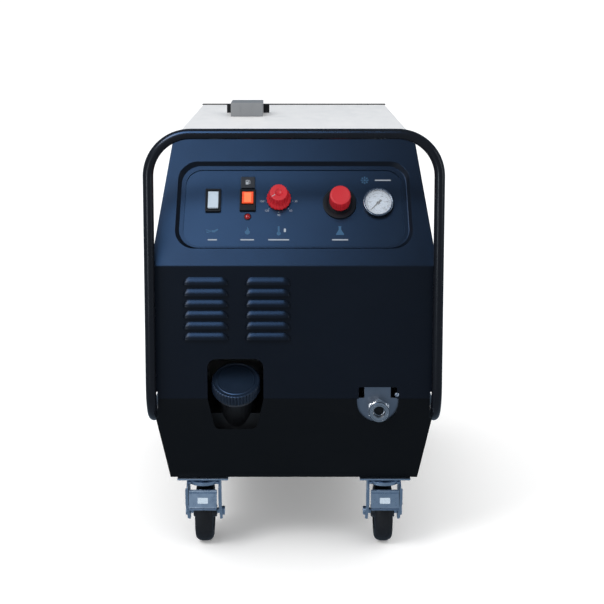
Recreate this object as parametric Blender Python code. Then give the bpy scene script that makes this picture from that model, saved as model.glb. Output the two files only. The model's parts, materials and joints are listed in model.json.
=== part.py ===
"""A hot-water high-pressure cleaner on castors: a folded steel body with a tubular roll bar.

Metres, +Z up, front towards -Y. The origin is on the floor at the middle of the machine's box.
Depths are measured back from the plane of the front panel, and at() turns one into a Y.
"""

import math

import bmesh
import bpy
from mathutils import Vector

# Clearances
GAP = 0.0003            # between pieces that touch
RUNNING = 0.0003        # round a shaft, spindle or pin
TRIM_GAP = 0.0015       # round a cut-out that something passes through
SNAP_FIT = 0.0005       # round a switch's body in its hole

# Overall
BODY_LENGTH = 0.985     # plane of the front panel to the rear edge of the hood
INLET_PROUD = 0.025     # water inlet behind the hood
CASTOR_HEIGHT = 0.1612
TRAY_HEIGHT = 0.1765
PANEL_RISE = 0.274      # upright part of the front panel
SLOPE_LENGTH = 0.292    # sloped part of the front panel
LEAN = math.radians(30)  # of the sloped part, from upright
SHEET = 0.003

# Widths, each to one side of the middle
PANEL_HALF = 0.289
PANEL_TOP_HALF = 0.251
HOOD_HALF = 0.262
HOOD_TOP_HALF = 0.2475
TRAY_FRONT_HALF = 0.2855
TRAY_FRONT_LOW_HALF = 0.256
TRAY_LOW_HALF = 0.246

PANEL_DEPTH = 0.018     # returned edges of the front panel
TRAY_FOLD_DROP = 0.039  # seam down to the fold in the tray's front
TRAY_SIDE_DROP = 0.076  # seam down to the fold in the tray's sides
TRAY_SETBACK = 0.030    # tray's lower front edge behind the panel
TRAY_TAIL = 0.030       # tray's lower rear edge ahead of the upper one
REAR_INSET = 0.010

# Roll bar
BAR_RADIUS = 0.01065
BAR_HALF = 0.28935
BAR_AHEAD = 0.015       # tube's middle in front of the front panel
BAR_OVER = 0.0161       # tube's middle above the hood
BAR_CORNER = 0.085
BAR_BEND = 0.080
BAR_LOW_Z = 0.287
BAR_END_DEPTH = 0.90
BRACKET_LENGTH = 0.030
BRACKET_HEIGHT = 0.036
BRACKET_DEPTH = 0.40

# Control recess, along the slope from its fold
RECESS_LOW, RECESS_HIGH = 0.046, 0.213
RECESS_LOW_HALF, RECESS_HIGH_HALF = 0.227, 0.222
RECESS_CORNER = 0.034
RIM_SIDE, RIM_TOP, RIM_BOTTOM = 0.016, 0.017, 0.008  # from the recess's opening out to the rim of its dish
LEDGE_SIDE, LEDGE_TOP, LEDGE_BOTTOM = 0.008, 0.008, 0.004  # ledge round the opening
RIM_CORNER = 0.040
DISH_DEPTH = 0.006
DISH_SHEET = 0.002
PLATE_LAP = 0.008
PLATE_SHEET = 0.002

# Controls: distance to the side, and along the slope
PUMP_SWITCH = (-0.166, 0.145)
PUMP_SWITCH_HALF = (0.016, 0.025)
BURNER_SWITCH = (-0.095, 0.1455)
BURNER_SWITCH_HALF = (0.0165, 0.0235)
ROCKER_RIM = 0.0035
ROCKER_TILT = math.radians(8)
FUEL_LAMP = (-0.095, 0.1845)
FUEL_LAMP_HALF = (0.0145, 0.0125)
BURNER_LED = (-0.095, 0.110)
LED_RADIUS = 0.005
THERMOSTAT = (-0.031, 0.149)
THERMOSTAT_BASE, THERMOSTAT_TOP, THERMOSTAT_HEIGHT = 0.0255, 0.018, 0.038
SPINDLE_RADIUS = 0.003
CHEMICAL = (0.094, 0.1395)
CHEMICAL_KNOB_RADIUS, CHEMICAL_KNOB_HEIGHT = 0.0215, 0.038
CHEMICAL_RING_RADIUS, CHEMICAL_RING_HEIGHT = 0.0345, 0.004
CHEMICAL_STEM_RADIUS, CHEMICAL_STEM_HEIGHT = 0.009, 0.016
GAUGE = (0.173, 0.139)
GAUGE_RADIUS = 0.0315
GAUGE_PROUD = 0.012

# Louvres
LOUVRE_COLUMNS = (-0.178, -0.053)
LOUVRE_ROWS = 6
LOUVRE_DROP = 0.0293    # fold down to the middle of the top louvre
LOUVRE_PITCH = 0.0227
LOUVRE_HALF_LENGTH = 0.0465
LOUVRE_HALF_HEIGHT = 0.0075
LOUVRE_PROUD = 0.007

# Filler
CAP_X = -0.119
CAP_DEPTH = 0.020
CAP_Z = 0.372
CAP_RISE = math.radians(59)  # of its axis above level
CAP_RADIUS, CAP_HEIGHT, CAP_WALL, CAP_CROWN = 0.051, 0.023, 0.005, 0.006
CAP_FLUTES = 22
NECK_RADIUS, NECK_BORE = 0.036, 0.030
COLLAR_RADIUS = 0.043
SEAL_THICKNESS = 0.003
FILLER_HALF = 0.057
FILLER_LOW_HALF = 0.042
FILLER_LOW_Z, FILLER_TOP_Z = 0.272, 0.421
FILLER_TOP_CORNER, FILLER_LOW_CORNER = 0.018, 0.012
TANK = ((-0.215, 0.042, 0.0), (-0.025, 0.290, 0.130))  # side, depth, height over the floor of the tray

# Outlet
OUTLET_X = 0.173
OUTLET_Z = 0.315
OUTLET_PLATE_X = 0.171
OUTLET_NOTCH_HALF = 0.0424
OUTLET_NOTCH_DROP = 0.0085  # straight sides of the notch, above its half circle
OUTLET_PLATE_LAP = 0.0075
OUTLET_TAB_HALF = 0.027
OUTLET_TAB_RISE = 0.0225
OUTLET_SLOT_HALF = 0.039
OUTLET_SLOT_RISE = 0.024
FITTING_RADIUS, FITTING_BORE = 0.0135, 0.010
COUPLING_RADIUS, COUPLING_BORE = 0.0208, 0.0123
COUPLING_BORE_DEPTH = 0.018
FITTING_PROUD = 0.020
NUT_FLATS, NUT_THICKNESS = 0.0415, 0.012
OUTLET_TAIL = 0.056     # fitting's inner end behind the front panel

# Castors
CASTOR_X = 0.189
CASTOR_DEPTH = 0.062
CASTOR_TRAIL = 0.038
CASTOR_WHEEL_RADIUS, CASTOR_WHEEL_WIDTH = 0.0625, 0.0375
CASTOR_PLATE = (0.0525, 0.0425)
CASTOR_PLATE_THICKNESS = 0.0035
CASTOR_RACE_RADIUS, CASTOR_RACE_DROP = 0.028, 0.0085
CROWN_RADIUS, CROWN_THICKNESS = 0.0330, 0.007
FORK_HALF, FORK_SHEET = 0.0345, 0.003
FORK_FOOT = 0.016
AXLE_RADIUS = 0.006
PEDAL_HALF = 0.029
PEDAL_PIVOT = (-0.0375, 0.132)  # ahead of the swivel axis, and height
PEDAL_BARREL = 0.004
PEDAL_LENGTH, PEDAL_LIP, PEDAL_SHEET = 0.034, 0.009, 0.0025
PEDAL_SLOPE = math.radians(72)  # below level

# Rear wheels
REAR_DEPTH = 0.80
REAR_RADIUS, REAR_TYRE, REAR_WIDTH = 0.125, 0.026, 0.032
REAR_AXLE_RADIUS = 0.010
REAR_INNER_X = 0.2665
AXLE_BRACKET_X = 0.20
AXLE_BRACKET_HALF = 0.005

# Rear panel
SLOT_ROWS, SLOT_LOW_Z, SLOT_PITCH, SLOT_HEIGHT, SLOT_HALF = 6, 0.52, 0.024, 0.012, 0.12
INLET = (0.12, 0.42)    # side and height
INLET_RADIUS, INLET_BORE, INLET_FLANGE = 0.0130, 0.008, 0.019
INLET_SPIGOT = 0.035    # inside the panel
GLAND = (-0.15, 0.42)
GLAND_RADIUS, GLAND_BORE, GLAND_FLANGE = 0.010, 0.0055, 0.015
GLAND_PROUD, GLAND_SPIGOT = 0.020, 0.020
FLANGE_THICKNESS = 0.006

# Motor and pump
MOTOR_DEPTH = 0.42
MOTOR_RADIUS = 0.080
MOTOR_X = (-0.190, 0.0)
MOTOR_SHAFT_RADIUS = 0.012
FAN_COVER_LENGTH = 0.044
PUMP_CASE_LENGTH, PUMP_HEAD_LENGTH = 0.110, 0.070
PUMP_CASE_HALF, PUMP_HEAD_HALF = 0.060, 0.048

# Boiler, burner and flue
BOILER_X, BOILER_DEPTH = -0.030, 0.735
BOILER_RADIUS, BOILER_WALL, BOILER_HEIGHT = 0.165, 0.003, 0.455
COIL_RADIUS, COIL_TUBE, COIL_TURNS, COIL_PITCH = 0.128, 0.011, 6, 0.048
FLUE_X, FLUE_DEPTH = -0.1143, 0.64
FLUE_RADIUS, FLUE_WALL = 0.030, 0.002
COWL_HALF, COWL_HALF_DEPTH, COWL_HEIGHT, COWL_SHEET = 0.0385, 0.050, 0.033, 0.002
STRIP_HALF, STRIP_HEIGHT, STRIP_LIFT = 0.053, 0.015, 0.006
BURNER_X, BURNER_DEPTH, BURNER_RISE = 0.0, 0.80, 0.095
BLOWER_RADIUS, BLOWER_LENGTH, BLOWER_WALL = 0.072, 0.070, 0.003
BLAST_RADIUS = 0.034

# Heights that follow
TRAY_Z = CASTOR_HEIGHT + GAP
FLOOR_Z = TRAY_Z + SHEET
SEAM_Z = TRAY_Z + TRAY_HEIGHT
PANEL_Z = SEAM_Z + GAP
FOLD_Z = PANEL_Z + PANEL_RISE
TOP_Z = FOLD_Z + SLOPE_LENGTH * math.cos(LEAN)
TOP_DEPTH = SLOPE_LENGTH * math.sin(LEAN)
BAR_TOP_Z = TOP_Z + BAR_OVER
MOTOR_Z = FLOOR_Z + GAP + 0.012 + MOTOR_RADIUS
BOILER_TOP_Z = FLOOR_Z + GAP + BOILER_HEIGHT
BURNER_Z = BOILER_TOP_Z + BURNER_RISE
PLATE_TOP = -DISH_DEPTH - DISH_SHEET - GAP  # control plate's face, along the slope's normal
ON_PLATE = PLATE_TOP + GAP
FRONT_Y = (BAR_AHEAD + BAR_RADIUS - BODY_LENGTH - INLET_PROUD) / 2

PALETTE = {
    "black_paint": ((0.012, 0.014, 0.020), 0.42, 0.0),
    "white_paint": ((0.86, 0.87, 0.88), 0.40, 0.0),
    "plate_black": ((0.010, 0.013, 0.022), 0.30, 0.0),
    "steel": ((0.55, 0.57, 0.60), 0.32, 1.0),
    "zinc": ((0.52, 0.58, 0.66), 0.36, 1.0),
    "dark_steel": ((0.10, 0.11, 0.12), 0.50, 0.8),
    "brass": ((0.72, 0.53, 0.25), 0.35, 1.0),
    "copper": ((0.70, 0.36, 0.22), 0.35, 1.0),
    "black_plastic": ((0.018, 0.019, 0.022), 0.50, 0.0),
    "white_plastic": ((0.60, 0.68, 0.74), 0.35, 0.0),
    "tank_plastic": ((0.45, 0.46, 0.44), 0.55, 0.0),
    "red_plastic": ((0.58, 0.025, 0.035), 0.35, 0.0),
    "orange_plastic": ((0.83, 0.11, 0.03), 0.30, 0.0),
    "red_lens": ((0.30, 0.01, 0.01), 0.20, 0.0),
    "dial_white": ((0.75, 0.78, 0.82), 0.45, 0.0),
    "clear": ((0.90, 0.93, 0.95), 0.05, 0.0),
    "rubber": ((0.020, 0.021, 0.024), 0.75, 0.0),
    "motor_grey": ((0.20, 0.24, 0.30), 0.50, 0.2),
    "grey_paint": ((0.36, 0.37, 0.38), 0.50, 0.2),
}


# ---------------------------------------------------------------- tools
def at(depth):
    """The Y of a depth behind the front panel's plane."""
    return FRONT_Y + depth


def paint(name):
    found = bpy.data.materials.get(name)
    if found:
        return found
    colour, roughness, metallic = PALETTE[name]
    made = bpy.data.materials.new(name)
    made.use_nodes = True
    shader = made.node_tree.nodes["Principled BSDF"]
    shader.inputs["Base Color"].default_value = (*colour, 1)
    shader.inputs["Roughness"].default_value = roughness
    shader.inputs["Metallic"].default_value = metallic
    return made


def mesh_of(name, vertices, faces):
    mesh = bpy.data.meshes.new(name)
    mesh.from_pydata([tuple(v) for v in vertices], [], faces)
    shape = bmesh.new()
    shape.from_mesh(mesh)
    bmesh.ops.recalc_face_normals(shape, faces=shape.faces)
    shape.to_mesh(mesh)
    shape.free()
    return mesh


def place(name, mesh, material, location=(0, 0, 0), rotation=(0, 0, 0), parent=None, smooth=False):
    obj = bpy.data.objects.new(name, mesh)
    bpy.context.scene.collection.objects.link(obj)
    obj.location = location
    obj.rotation_euler = rotation
    obj.parent = parent
    if material:
        obj.data.materials.append(paint(material))
    if smooth:
        mesh.shade_smooth()
        mesh.set_sharp_from_angle(angle=math.radians(35))
    return obj


def lofted(sections, strip_caps=False):
    """A closed skin over loops of equal length. Strip caps suit a loop that goes out and back, such as a U."""
    count = len(sections[0])
    vertices = [v for section in sections for v in section]
    faces = []
    for k in range(len(sections) - 1):
        low, high = k * count, (k + 1) * count
        for i in range(count):
            j = (i + 1) % count
            faces.append((low + i, low + j, high + j, high + i))
    for start in (0, (len(sections) - 1) * count):
        if strip_caps:
            faces += [(start + i, start + i + 1, start + count - 2 - i, start + count - 1 - i)
                      for i in range(count // 2 - 1)]
        else:
            faces.append(tuple(range(start, start + count)))
    return mesh_of("loft", vertices, faces)


def box(low, high):
    loop = [(low[0], low[1]), (high[0], low[1]), (high[0], high[1]), (low[0], high[1])]
    return lofted([[(x, y, z) for x, y in loop] for z in (low[2], high[2])])


def extruded(outline, low, high, axis="y"):
    """An outline of (x, z) pushed along Y, of (y, z) along X, or of (x, y) along Z."""
    put = {
        "x": lambda a, b, c: (c, a, b),
        "y": lambda a, b, c: (a, c, b),
        "z": lambda a, b, c: (a, b, c),
    }[axis]
    return lofted([[put(a, b, c) for a, b in outline] for c in (low, high)])


def turned(profile, segments=24, ring=False, flute=0.0, flute_from=0.0):
    """A profile of (radius, height) turned round local Z. A ring's profile closes on itself."""
    vertices, rows = [], []
    for radius, height in profile:
        if radius == 0:
            rows.append([len(vertices)] * segments)
            vertices.append((0, 0, height))
            continue
        rows.append(range(len(vertices), len(vertices) + segments))
        for i in range(segments):
            turn = math.tau * i / segments
            reach = radius - (flute if i % 2 and radius >= flute_from else 0)
            vertices.append((reach * math.cos(turn), reach * math.sin(turn), height))
    faces = []
    pairs = list(zip(rows, rows[1:]))
    if ring:
        pairs.append((rows[-1], rows[0]))
    for a, b in pairs:
        for i in range(segments):
            j = (i + 1) % segments
            face = tuple(dict.fromkeys((a[i], a[j], b[j], b[i])))
            if len(face) > 2:
                faces.append(face)
    return mesh_of("turned", vertices, faces)


def rod(radius, low, high, segments=16):
    return turned([(0, low), (radius, low), (radius, high), (0, high)], segments)


def tube(radius, bore, low, high, segments=24):
    return turned([(radius, low), (radius, high), (bore, high), (bore, low)], segments, ring=True)


def fillet(before, corner, after, radius, steps):
    """The points of the arc that rounds one corner."""
    here = Vector(corner)
    back = (Vector(before) - here).normalized()
    ahead = (Vector(after) - here).normalized()
    half = back.angle(ahead) / 2
    middle = here + (back + ahead).normalized() * (radius / math.sin(half))
    first = here + back * (radius / math.tan(half)) - middle
    last = here + ahead * (radius / math.tan(half)) - middle
    sweep = math.pi - 2 * half
    return [middle + (first * math.sin(sweep * (1 - i / steps)) + last * math.sin(sweep * i / steps)) / math.sin(sweep)
            for i in range(steps + 1)]


def rounded(corners, radius, steps=5):
    """An outline with its corners turned to arcs."""
    points = []
    for k, corner in enumerate(corners):
        points += fillet(corners[k - 1], corner, corners[(k + 1) % len(corners)], radius, steps)
    return [tuple(point) for point in points]


def bent_path(corners, radii, steps=6):
    """The points of a tube's middle line: straight runs joined by arcs."""
    points = [Vector(corners[0])]
    for before, corner, after, radius in zip(corners, corners[1:], corners[2:], radii):
        points += fillet(before, corner, after, radius, steps)
    return points + [Vector(corners[-1])]


def pipe(name, points, radius, material, roundness=2):
    curve = bpy.data.curves.new(name, "CURVE")
    curve.dimensions = "3D"
    curve.bevel_depth = radius
    curve.bevel_resolution = roundness
    curve.use_fill_caps = True
    spline = curve.splines.new("POLY")
    spline.points.add(len(points) - 1)
    for point, place_of in zip(spline.points, points):
        point.co = (*place_of, 1)
    return place(name, curve, material)


def helper(mesh, location=(0, 0, 0), rotation=(0, 0, 0), parent=None):
    """A shape that only cuts another or joins it."""
    obj = place("helper", mesh, None, location, rotation, parent)
    obj.hide_render = True
    obj.display_type = "WIRE"
    return obj


def combine(obj, other, operation):
    change = obj.modifiers.new(operation.lower(), "BOOLEAN")
    change.operation = operation
    change.object = other


def cut(obj, mesh, location=(0, 0, 0), rotation=(0, 0, 0), parent=None):
    combine(obj, helper(mesh, location, rotation, parent), "DIFFERENCE")


def join(obj, mesh, location=(0, 0, 0), rotation=(0, 0, 0), parent=None):
    combine(obj, helper(mesh, location, rotation, parent), "UNION")


def merged(meshes):
    """Shapes that lie apart from each other, as one mesh for a single cut or join."""
    shape = bmesh.new()
    for mesh in meshes:
        shape.from_mesh(mesh)
    made = bpy.data.meshes.new("merged")
    shape.to_mesh(made)
    shape.free()
    return made


def shifted(mesh, x=0.0, y=0.0, z=0.0):
    for vertex in mesh.vertices:
        vertex.co += Vector((x, y, z))
    return mesh


def frame_empty(name, location, tilt):
    empty = bpy.data.objects.new(name, None)
    bpy.context.scene.collection.objects.link(empty)
    empty.location = location
    empty.rotation_euler = (tilt, 0, 0)
    return empty


ALONG_X = (0, math.pi / 2, 0)   # turns local Z to +X
ALONG_Y = (-math.pi / 2, 0, 0)  # turns local Z to +Y


# ---------------------------------------------------------------- body
def leg_slots():
    """Corner notches where the roll bar's legs pass through the tray and the panel."""
    inner = BAR_HALF - BAR_RADIUS - TRIM_GAP
    low, high = BAR_LOW_Z + 0.010, PANEL_Z + 0.014
    return merged([box((min(s * inner, s * 0.32), at(-0.02), low), (max(s * inner, s * 0.32), at(0.05), high))
                   for s in (-1, 1)])


def filler_notch():
    """Opening round the cap, narrower at its foot, with rounded corners."""
    left, right = CAP_X - FILLER_HALF, CAP_X + FILLER_HALF
    low_left, low_right = CAP_X - FILLER_LOW_HALF, CAP_X + FILLER_LOW_HALF
    corners = [(left, SEAM_Z), (left, FILLER_TOP_Z), (right, FILLER_TOP_Z), (right, SEAM_Z),
               (low_right, FILLER_LOW_Z), (low_left, FILLER_LOW_Z)]
    radii = (0.0, FILLER_TOP_CORNER, FILLER_TOP_CORNER, 0.0, FILLER_LOW_CORNER, FILLER_LOW_CORNER)
    outline = []
    for k, (corner, radius) in enumerate(zip(corners, radii)):
        outline += fillet(corners[k - 1], corner, corners[(k + 1) % 6], radius, 5) if radius else [corner]
    return extruded([tuple(point) for point in outline], at(-0.02), at(0.036))


def half_round(half, drop):
    """The outlet plate's lower outline from left to right: straight sides, then a half circle."""
    middle = SEAM_Z - drop
    arc = [(OUTLET_PLATE_X - half * math.cos(math.pi * i / 12), middle - half * math.sin(math.pi * i / 12))
           for i in range(13)]
    return [(arc[0][0], SEAM_Z - GAP)] + arc + [(arc[-1][0], SEAM_Z - GAP)]


def outlet_notch():
    """Round-bottomed in the tray, and square in the panel above it."""
    top = SEAM_Z + OUTLET_SLOT_RISE
    slot = [(OUTLET_PLATE_X + OUTLET_SLOT_HALF, SEAM_Z - GAP), (OUTLET_PLATE_X + OUTLET_SLOT_HALF, top),
            (OUTLET_PLATE_X - OUTLET_SLOT_HALF, top), (OUTLET_PLATE_X - OUTLET_SLOT_HALF, SEAM_Z - GAP)]
    return extruded(half_round(OUTLET_NOTCH_HALF, OUTLET_NOTCH_DROP) + slot, at(-0.02), at(0.03))


def tray_loop(z, half, front, rear, inset=0.0):
    return [(-half + inset, at(front + inset), z), (half - inset, at(front + inset), z),
            (half - inset, at(rear - inset), z), (-half + inset, at(rear - inset), z)]


def build_tray():
    fold_z, side_z = SEAM_Z - TRAY_FOLD_DROP, SEAM_Z - TRAY_SIDE_DROP
    side_depth = TRAY_SETBACK * (fold_z - side_z) / (fold_z - TRAY_Z)
    levels = [(TRAY_Z, TRAY_LOW_HALF, TRAY_SETBACK, BODY_LENGTH - TRAY_TAIL),
              (side_z, HOOD_HALF, side_depth, BODY_LENGTH),
              (fold_z, HOOD_HALF, 0.0, BODY_LENGTH),
              (SEAM_Z, HOOD_HALF, 0.0, BODY_LENGTH)]
    tray = place("chassis_tray", lofted([tray_loop(*level) for level in levels]), "black_paint")
    flange = [[(-half, at(depth), z), (half, at(depth), z),
               (half, at(depth + SHEET), z), (-half, at(depth + SHEET), z)]
              for z, half, depth in ((TRAY_Z, TRAY_FRONT_LOW_HALF, TRAY_SETBACK),
                                     (fold_z, TRAY_FRONT_HALF - 0.003, 0.0),
                                     (SEAM_Z, TRAY_FRONT_HALF, 0.0))]
    join(tray, lofted(flange))
    inner = [(FLOOR_Z, *levels[0][1:]), levels[1], levels[2], (SEAM_Z + 0.01, *levels[3][1:])]
    cut(tray, lofted([tray_loop(*level, inset=SHEET) for level in inner]))
    cut(tray, leg_slots())
    cut(tray, filler_notch())
    cut(tray, outlet_notch())
    foot = REAR_RADIUS - 0.018
    hanger = [(-0.045, TRAY_Z + 0.001), (-0.016, foot), (0.016, foot), (0.045, TRAY_Z + 0.001)]
    hanger = [(at(REAR_DEPTH) + y, z) for y, z in hanger]
    half = AXLE_BRACKET_HALF
    join(tray, merged([extruded(hanger, s * AXLE_BRACKET_X - half, s * AXLE_BRACKET_X + half,
                                "x") for s in (-1, 1)]))
    cut(tray, rod(REAR_AXLE_RADIUS + GAP, -0.25, 0.25, 16), (0, at(REAR_DEPTH), REAR_RADIUS), ALONG_X)


def panel_rows(inset, front, back, low=0.0, high=0.0):
    rows = ((PANEL_Z + low, PANEL_HALF, 0.0), (FOLD_Z, PANEL_HALF, 0.0),
            (TOP_Z - high, PANEL_TOP_HALF, TOP_DEPTH - high * math.tan(LEAN)))
    return [[(-half + inset, at(depth + front), z), (half - inset, at(depth + front), z),
             (half - inset, at(depth + back), z), (-half + inset, at(depth + back), z)]
            for z, half, depth in rows]


def recess_outline(side=0.0, low=0.0, high=0.0, corner=RECESS_CORNER):
    return rounded([(-RECESS_LOW_HALF - side, RECESS_LOW - low), (RECESS_LOW_HALF + side, RECESS_LOW - low),
                    (RECESS_HIGH_HALF + side, RECESS_HIGH + high), (-RECESS_HIGH_HALF - side,
                                                                    RECESS_HIGH + high)],
                   corner)


def louvre_outlines():
    """Each louvre's hood, and the hollow under it, which opens downwards."""
    h = LOUVRE_HALF_HEIGHT
    skin = 0.0015
    hood = [(0.001, h), (-LOUVRE_PROUD * 0.75, 0.2 * h), (-LOUVRE_PROUD, -h), (0.001, -h)]
    hollow = [(SHEET + 0.002, h - 2 * skin), (-LOUVRE_PROUD * 0.75 + skin, 0.1 * h - skin / 2),
              (-LOUVRE_PROUD + skin, -h - 0.002), (SHEET + 0.002, -h - 0.002)]
    return hood, hollow


def louvres(which):
    outline = louvre_outlines()[which]
    reach = LOUVRE_HALF_LENGTH - (0.003 if which else 0)
    made = []
    for x in LOUVRE_COLUMNS:
        for row in range(LOUVRE_ROWS):
            z = FOLD_Z - LOUVRE_DROP - row * LOUVRE_PITCH
            made.append(extruded([(at(d), z + h) for d, h in outline], x - reach, x + reach, "x"))
    return merged(made)


def build_front_panel(slope):
    panel = place("front_panel", lofted(panel_rows(0.0, 0.0, PANEL_DEPTH)), "black_paint")
    cut(panel, lofted(panel_rows(SHEET, SHEET, PANEL_DEPTH + 0.02, SHEET, SHEET)))
    dish = recess_outline(RIM_SIDE + DISH_SHEET, RIM_BOTTOM + DISH_SHEET, RIM_TOP + DISH_SHEET, RIM_CORNER)
    join(panel, extruded(dish, -DISH_DEPTH - DISH_SHEET, -SHEET / 2, "z"), parent=slope)
    rim = recess_outline(RIM_SIDE, RIM_BOTTOM, RIM_TOP, RIM_CORNER)
    ledge = recess_outline(LEDGE_SIDE, LEDGE_BOTTOM, LEDGE_TOP, RIM_CORNER)
    hollow = [[(x, t, n) for x, t in outline] for outline, n in ((ledge, -DISH_DEPTH), (rim, 0.0),
                                                                 (rim, 0.01))]
    cut(panel, lofted(hollow), parent=slope)
    cut(panel, extruded(recess_outline(), -0.02, 0.02, "z"), parent=slope)
    join(panel, louvres(0))
    cut(panel, louvres(1))
    cut(panel, leg_slots())
    cut(panel, filler_notch())
    cut(panel, outlet_notch())


def build_hood():
    def loop(inset, depths):
        outer = [(-HOOD_HALF, PANEL_Z, 0), (-HOOD_HALF, FOLD_Z, 1), (-HOOD_TOP_HALF, TOP_Z, 2),
                 (HOOD_TOP_HALF, TOP_Z, 2), (HOOD_HALF, FOLD_Z, 1), (HOOD_HALF, PANEL_Z, 0)]
        points = []
        for x, z, level in outer:
            side = x - math.copysign(inset, x)
            height = z - (inset if level == 2 else 0)
            points.append((side, at(depths[level]), height))
        return points

    back = PANEL_DEPTH + GAP
    front = (back, back, TOP_DEPTH + back)
    rear = (BODY_LENGTH,) * 3
    sections = [loop(0, depths) + loop(SHEET, depths)[::-1] for depths in (front, rear)]
    hood = place("hood", lofted(sections, strip_caps=True), "white_paint")
    cut(hood, rod(FLUE_RADIUS + TRIM_GAP, TOP_Z - 0.03, TOP_Z + 0.03, 20), (FLUE_X, at(FLUE_DEPTH), 0))


def build_rear_panel():
    side = SHEET + GAP
    near, far = BODY_LENGTH - REAR_INSET - SHEET, BODY_LENGTH - REAR_INSET
    rows = [(PANEL_Z, HOOD_HALF - side), (FOLD_Z, HOOD_HALF - side - 0.0002),
            (TOP_Z - side, HOOD_TOP_HALF - side - 0.0002)]
    panel = place("rear_panel", lofted([[(-w, at(near), z), (w, at(near), z), (w, at(far), z),
                                         (-w, at(far), z)]
                                        for z, w in rows]), "black_paint")
    slots = []
    for k in range(SLOT_ROWS):
        low = SLOT_LOW_Z + SLOT_PITCH * k
        slots.append(box((-SLOT_HALF, at(near - 0.01), low), (SLOT_HALF, at(far + 0.01), low + SLOT_HEIGHT)))
    cut(panel, merged(slots))
    for x, radius in ((INLET[0], INLET_RADIUS + GAP), (GLAND[0], GLAND_RADIUS + GAP)):
        cut(panel, rod(radius, -0.02, 0.02, 20), (x, at(near), INLET[1]), ALONG_Y)


def build_rear_fittings():
    """Local Z points out of the back. Each flange sits on the rear panel's outer face."""
    face = BODY_LENGTH - REAR_INSET + GAP
    end = BODY_LENGTH + INLET_PROUD - face
    thick = FLANGE_THICKNESS
    inlet = [(INLET_BORE, end), (INLET_BORE, -INLET_SPIGOT), (INLET_RADIUS, -INLET_SPIGOT),
             (INLET_RADIUS, 0.0),
             (INLET_FLANGE, 0.0), (INLET_FLANGE, thick), (INLET_RADIUS, thick), (INLET_RADIUS, end)]
    place("water_inlet", turned(inlet, 20, ring=True), "brass", (INLET[0], at(face), INLET[1]), ALONG_Y,
          smooth=True)
    wall = (GLAND_RADIUS - GLAND_BORE) * 0.9
    gland = [(GLAND_BORE, GLAND_PROUD), (GLAND_BORE, -GLAND_SPIGOT), (GLAND_RADIUS, -GLAND_SPIGOT),
             (GLAND_RADIUS, 0.0), (GLAND_FLANGE, 0.0), (GLAND_FLANGE, thick), (GLAND_RADIUS + 0.001,
                                                                               2 * thick),
             (GLAND_BORE + wall, GLAND_PROUD)]
    place("cable_gland", turned(gland, 16, ring=True), "black_plastic", (GLAND[0], at(face), GLAND[1]),
          ALONG_Y,
          smooth=True)


def build_roll_bar():
    plane, end = at(-BAR_AHEAD), at(BAR_END_DEPTH)
    corners = [(-BAR_HALF, end, BAR_LOW_Z), (-BAR_HALF, plane, BAR_LOW_Z), (-BAR_HALF, plane, BAR_TOP_Z),
               (BAR_HALF, plane, BAR_TOP_Z), (BAR_HALF, plane, BAR_LOW_Z), (BAR_HALF, end, BAR_LOW_Z)]
    pipe("roll_bar", bent_path(corners, [BAR_BEND, BAR_CORNER, BAR_CORNER, BAR_BEND], 8), BAR_RADIUS,
         "black_paint", 4)
    near, far = HOOD_HALF + GAP, BAR_HALF
    half, long, tall = (far - near) / 2, BRACKET_LENGTH / 2, BRACKET_HEIGHT / 2
    for side, sign in (("left", -1), ("right", 1)):
        middle = (sign * (near + far) / 2, at(BRACKET_DEPTH), BAR_LOW_Z)
        bracket = place(f"bar_bracket_{side}", box((-half, -long, -tall), (half, long, tall)), "zinc", middle)
        cut(bracket, rod(BAR_RADIUS + GAP, -long - 0.01, long + 0.01, 20), (sign * BAR_HALF, *middle[1:]),
            ALONG_Y)


def outlet_plate_depth():
    """The plate lies behind the panel, and behind the tray's front, which slopes back below its fold."""
    foot = SEAM_Z - OUTLET_NOTCH_DROP - OUTLET_NOTCH_HALF - OUTLET_PLATE_LAP
    slope = TRAY_SETBACK / (TRAY_HEIGHT - TRAY_FOLD_DROP)
    return SHEET + GAP + max(SHEET + GAP, slope * (SEAM_Z - TRAY_FOLD_DROP - foot))


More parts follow.
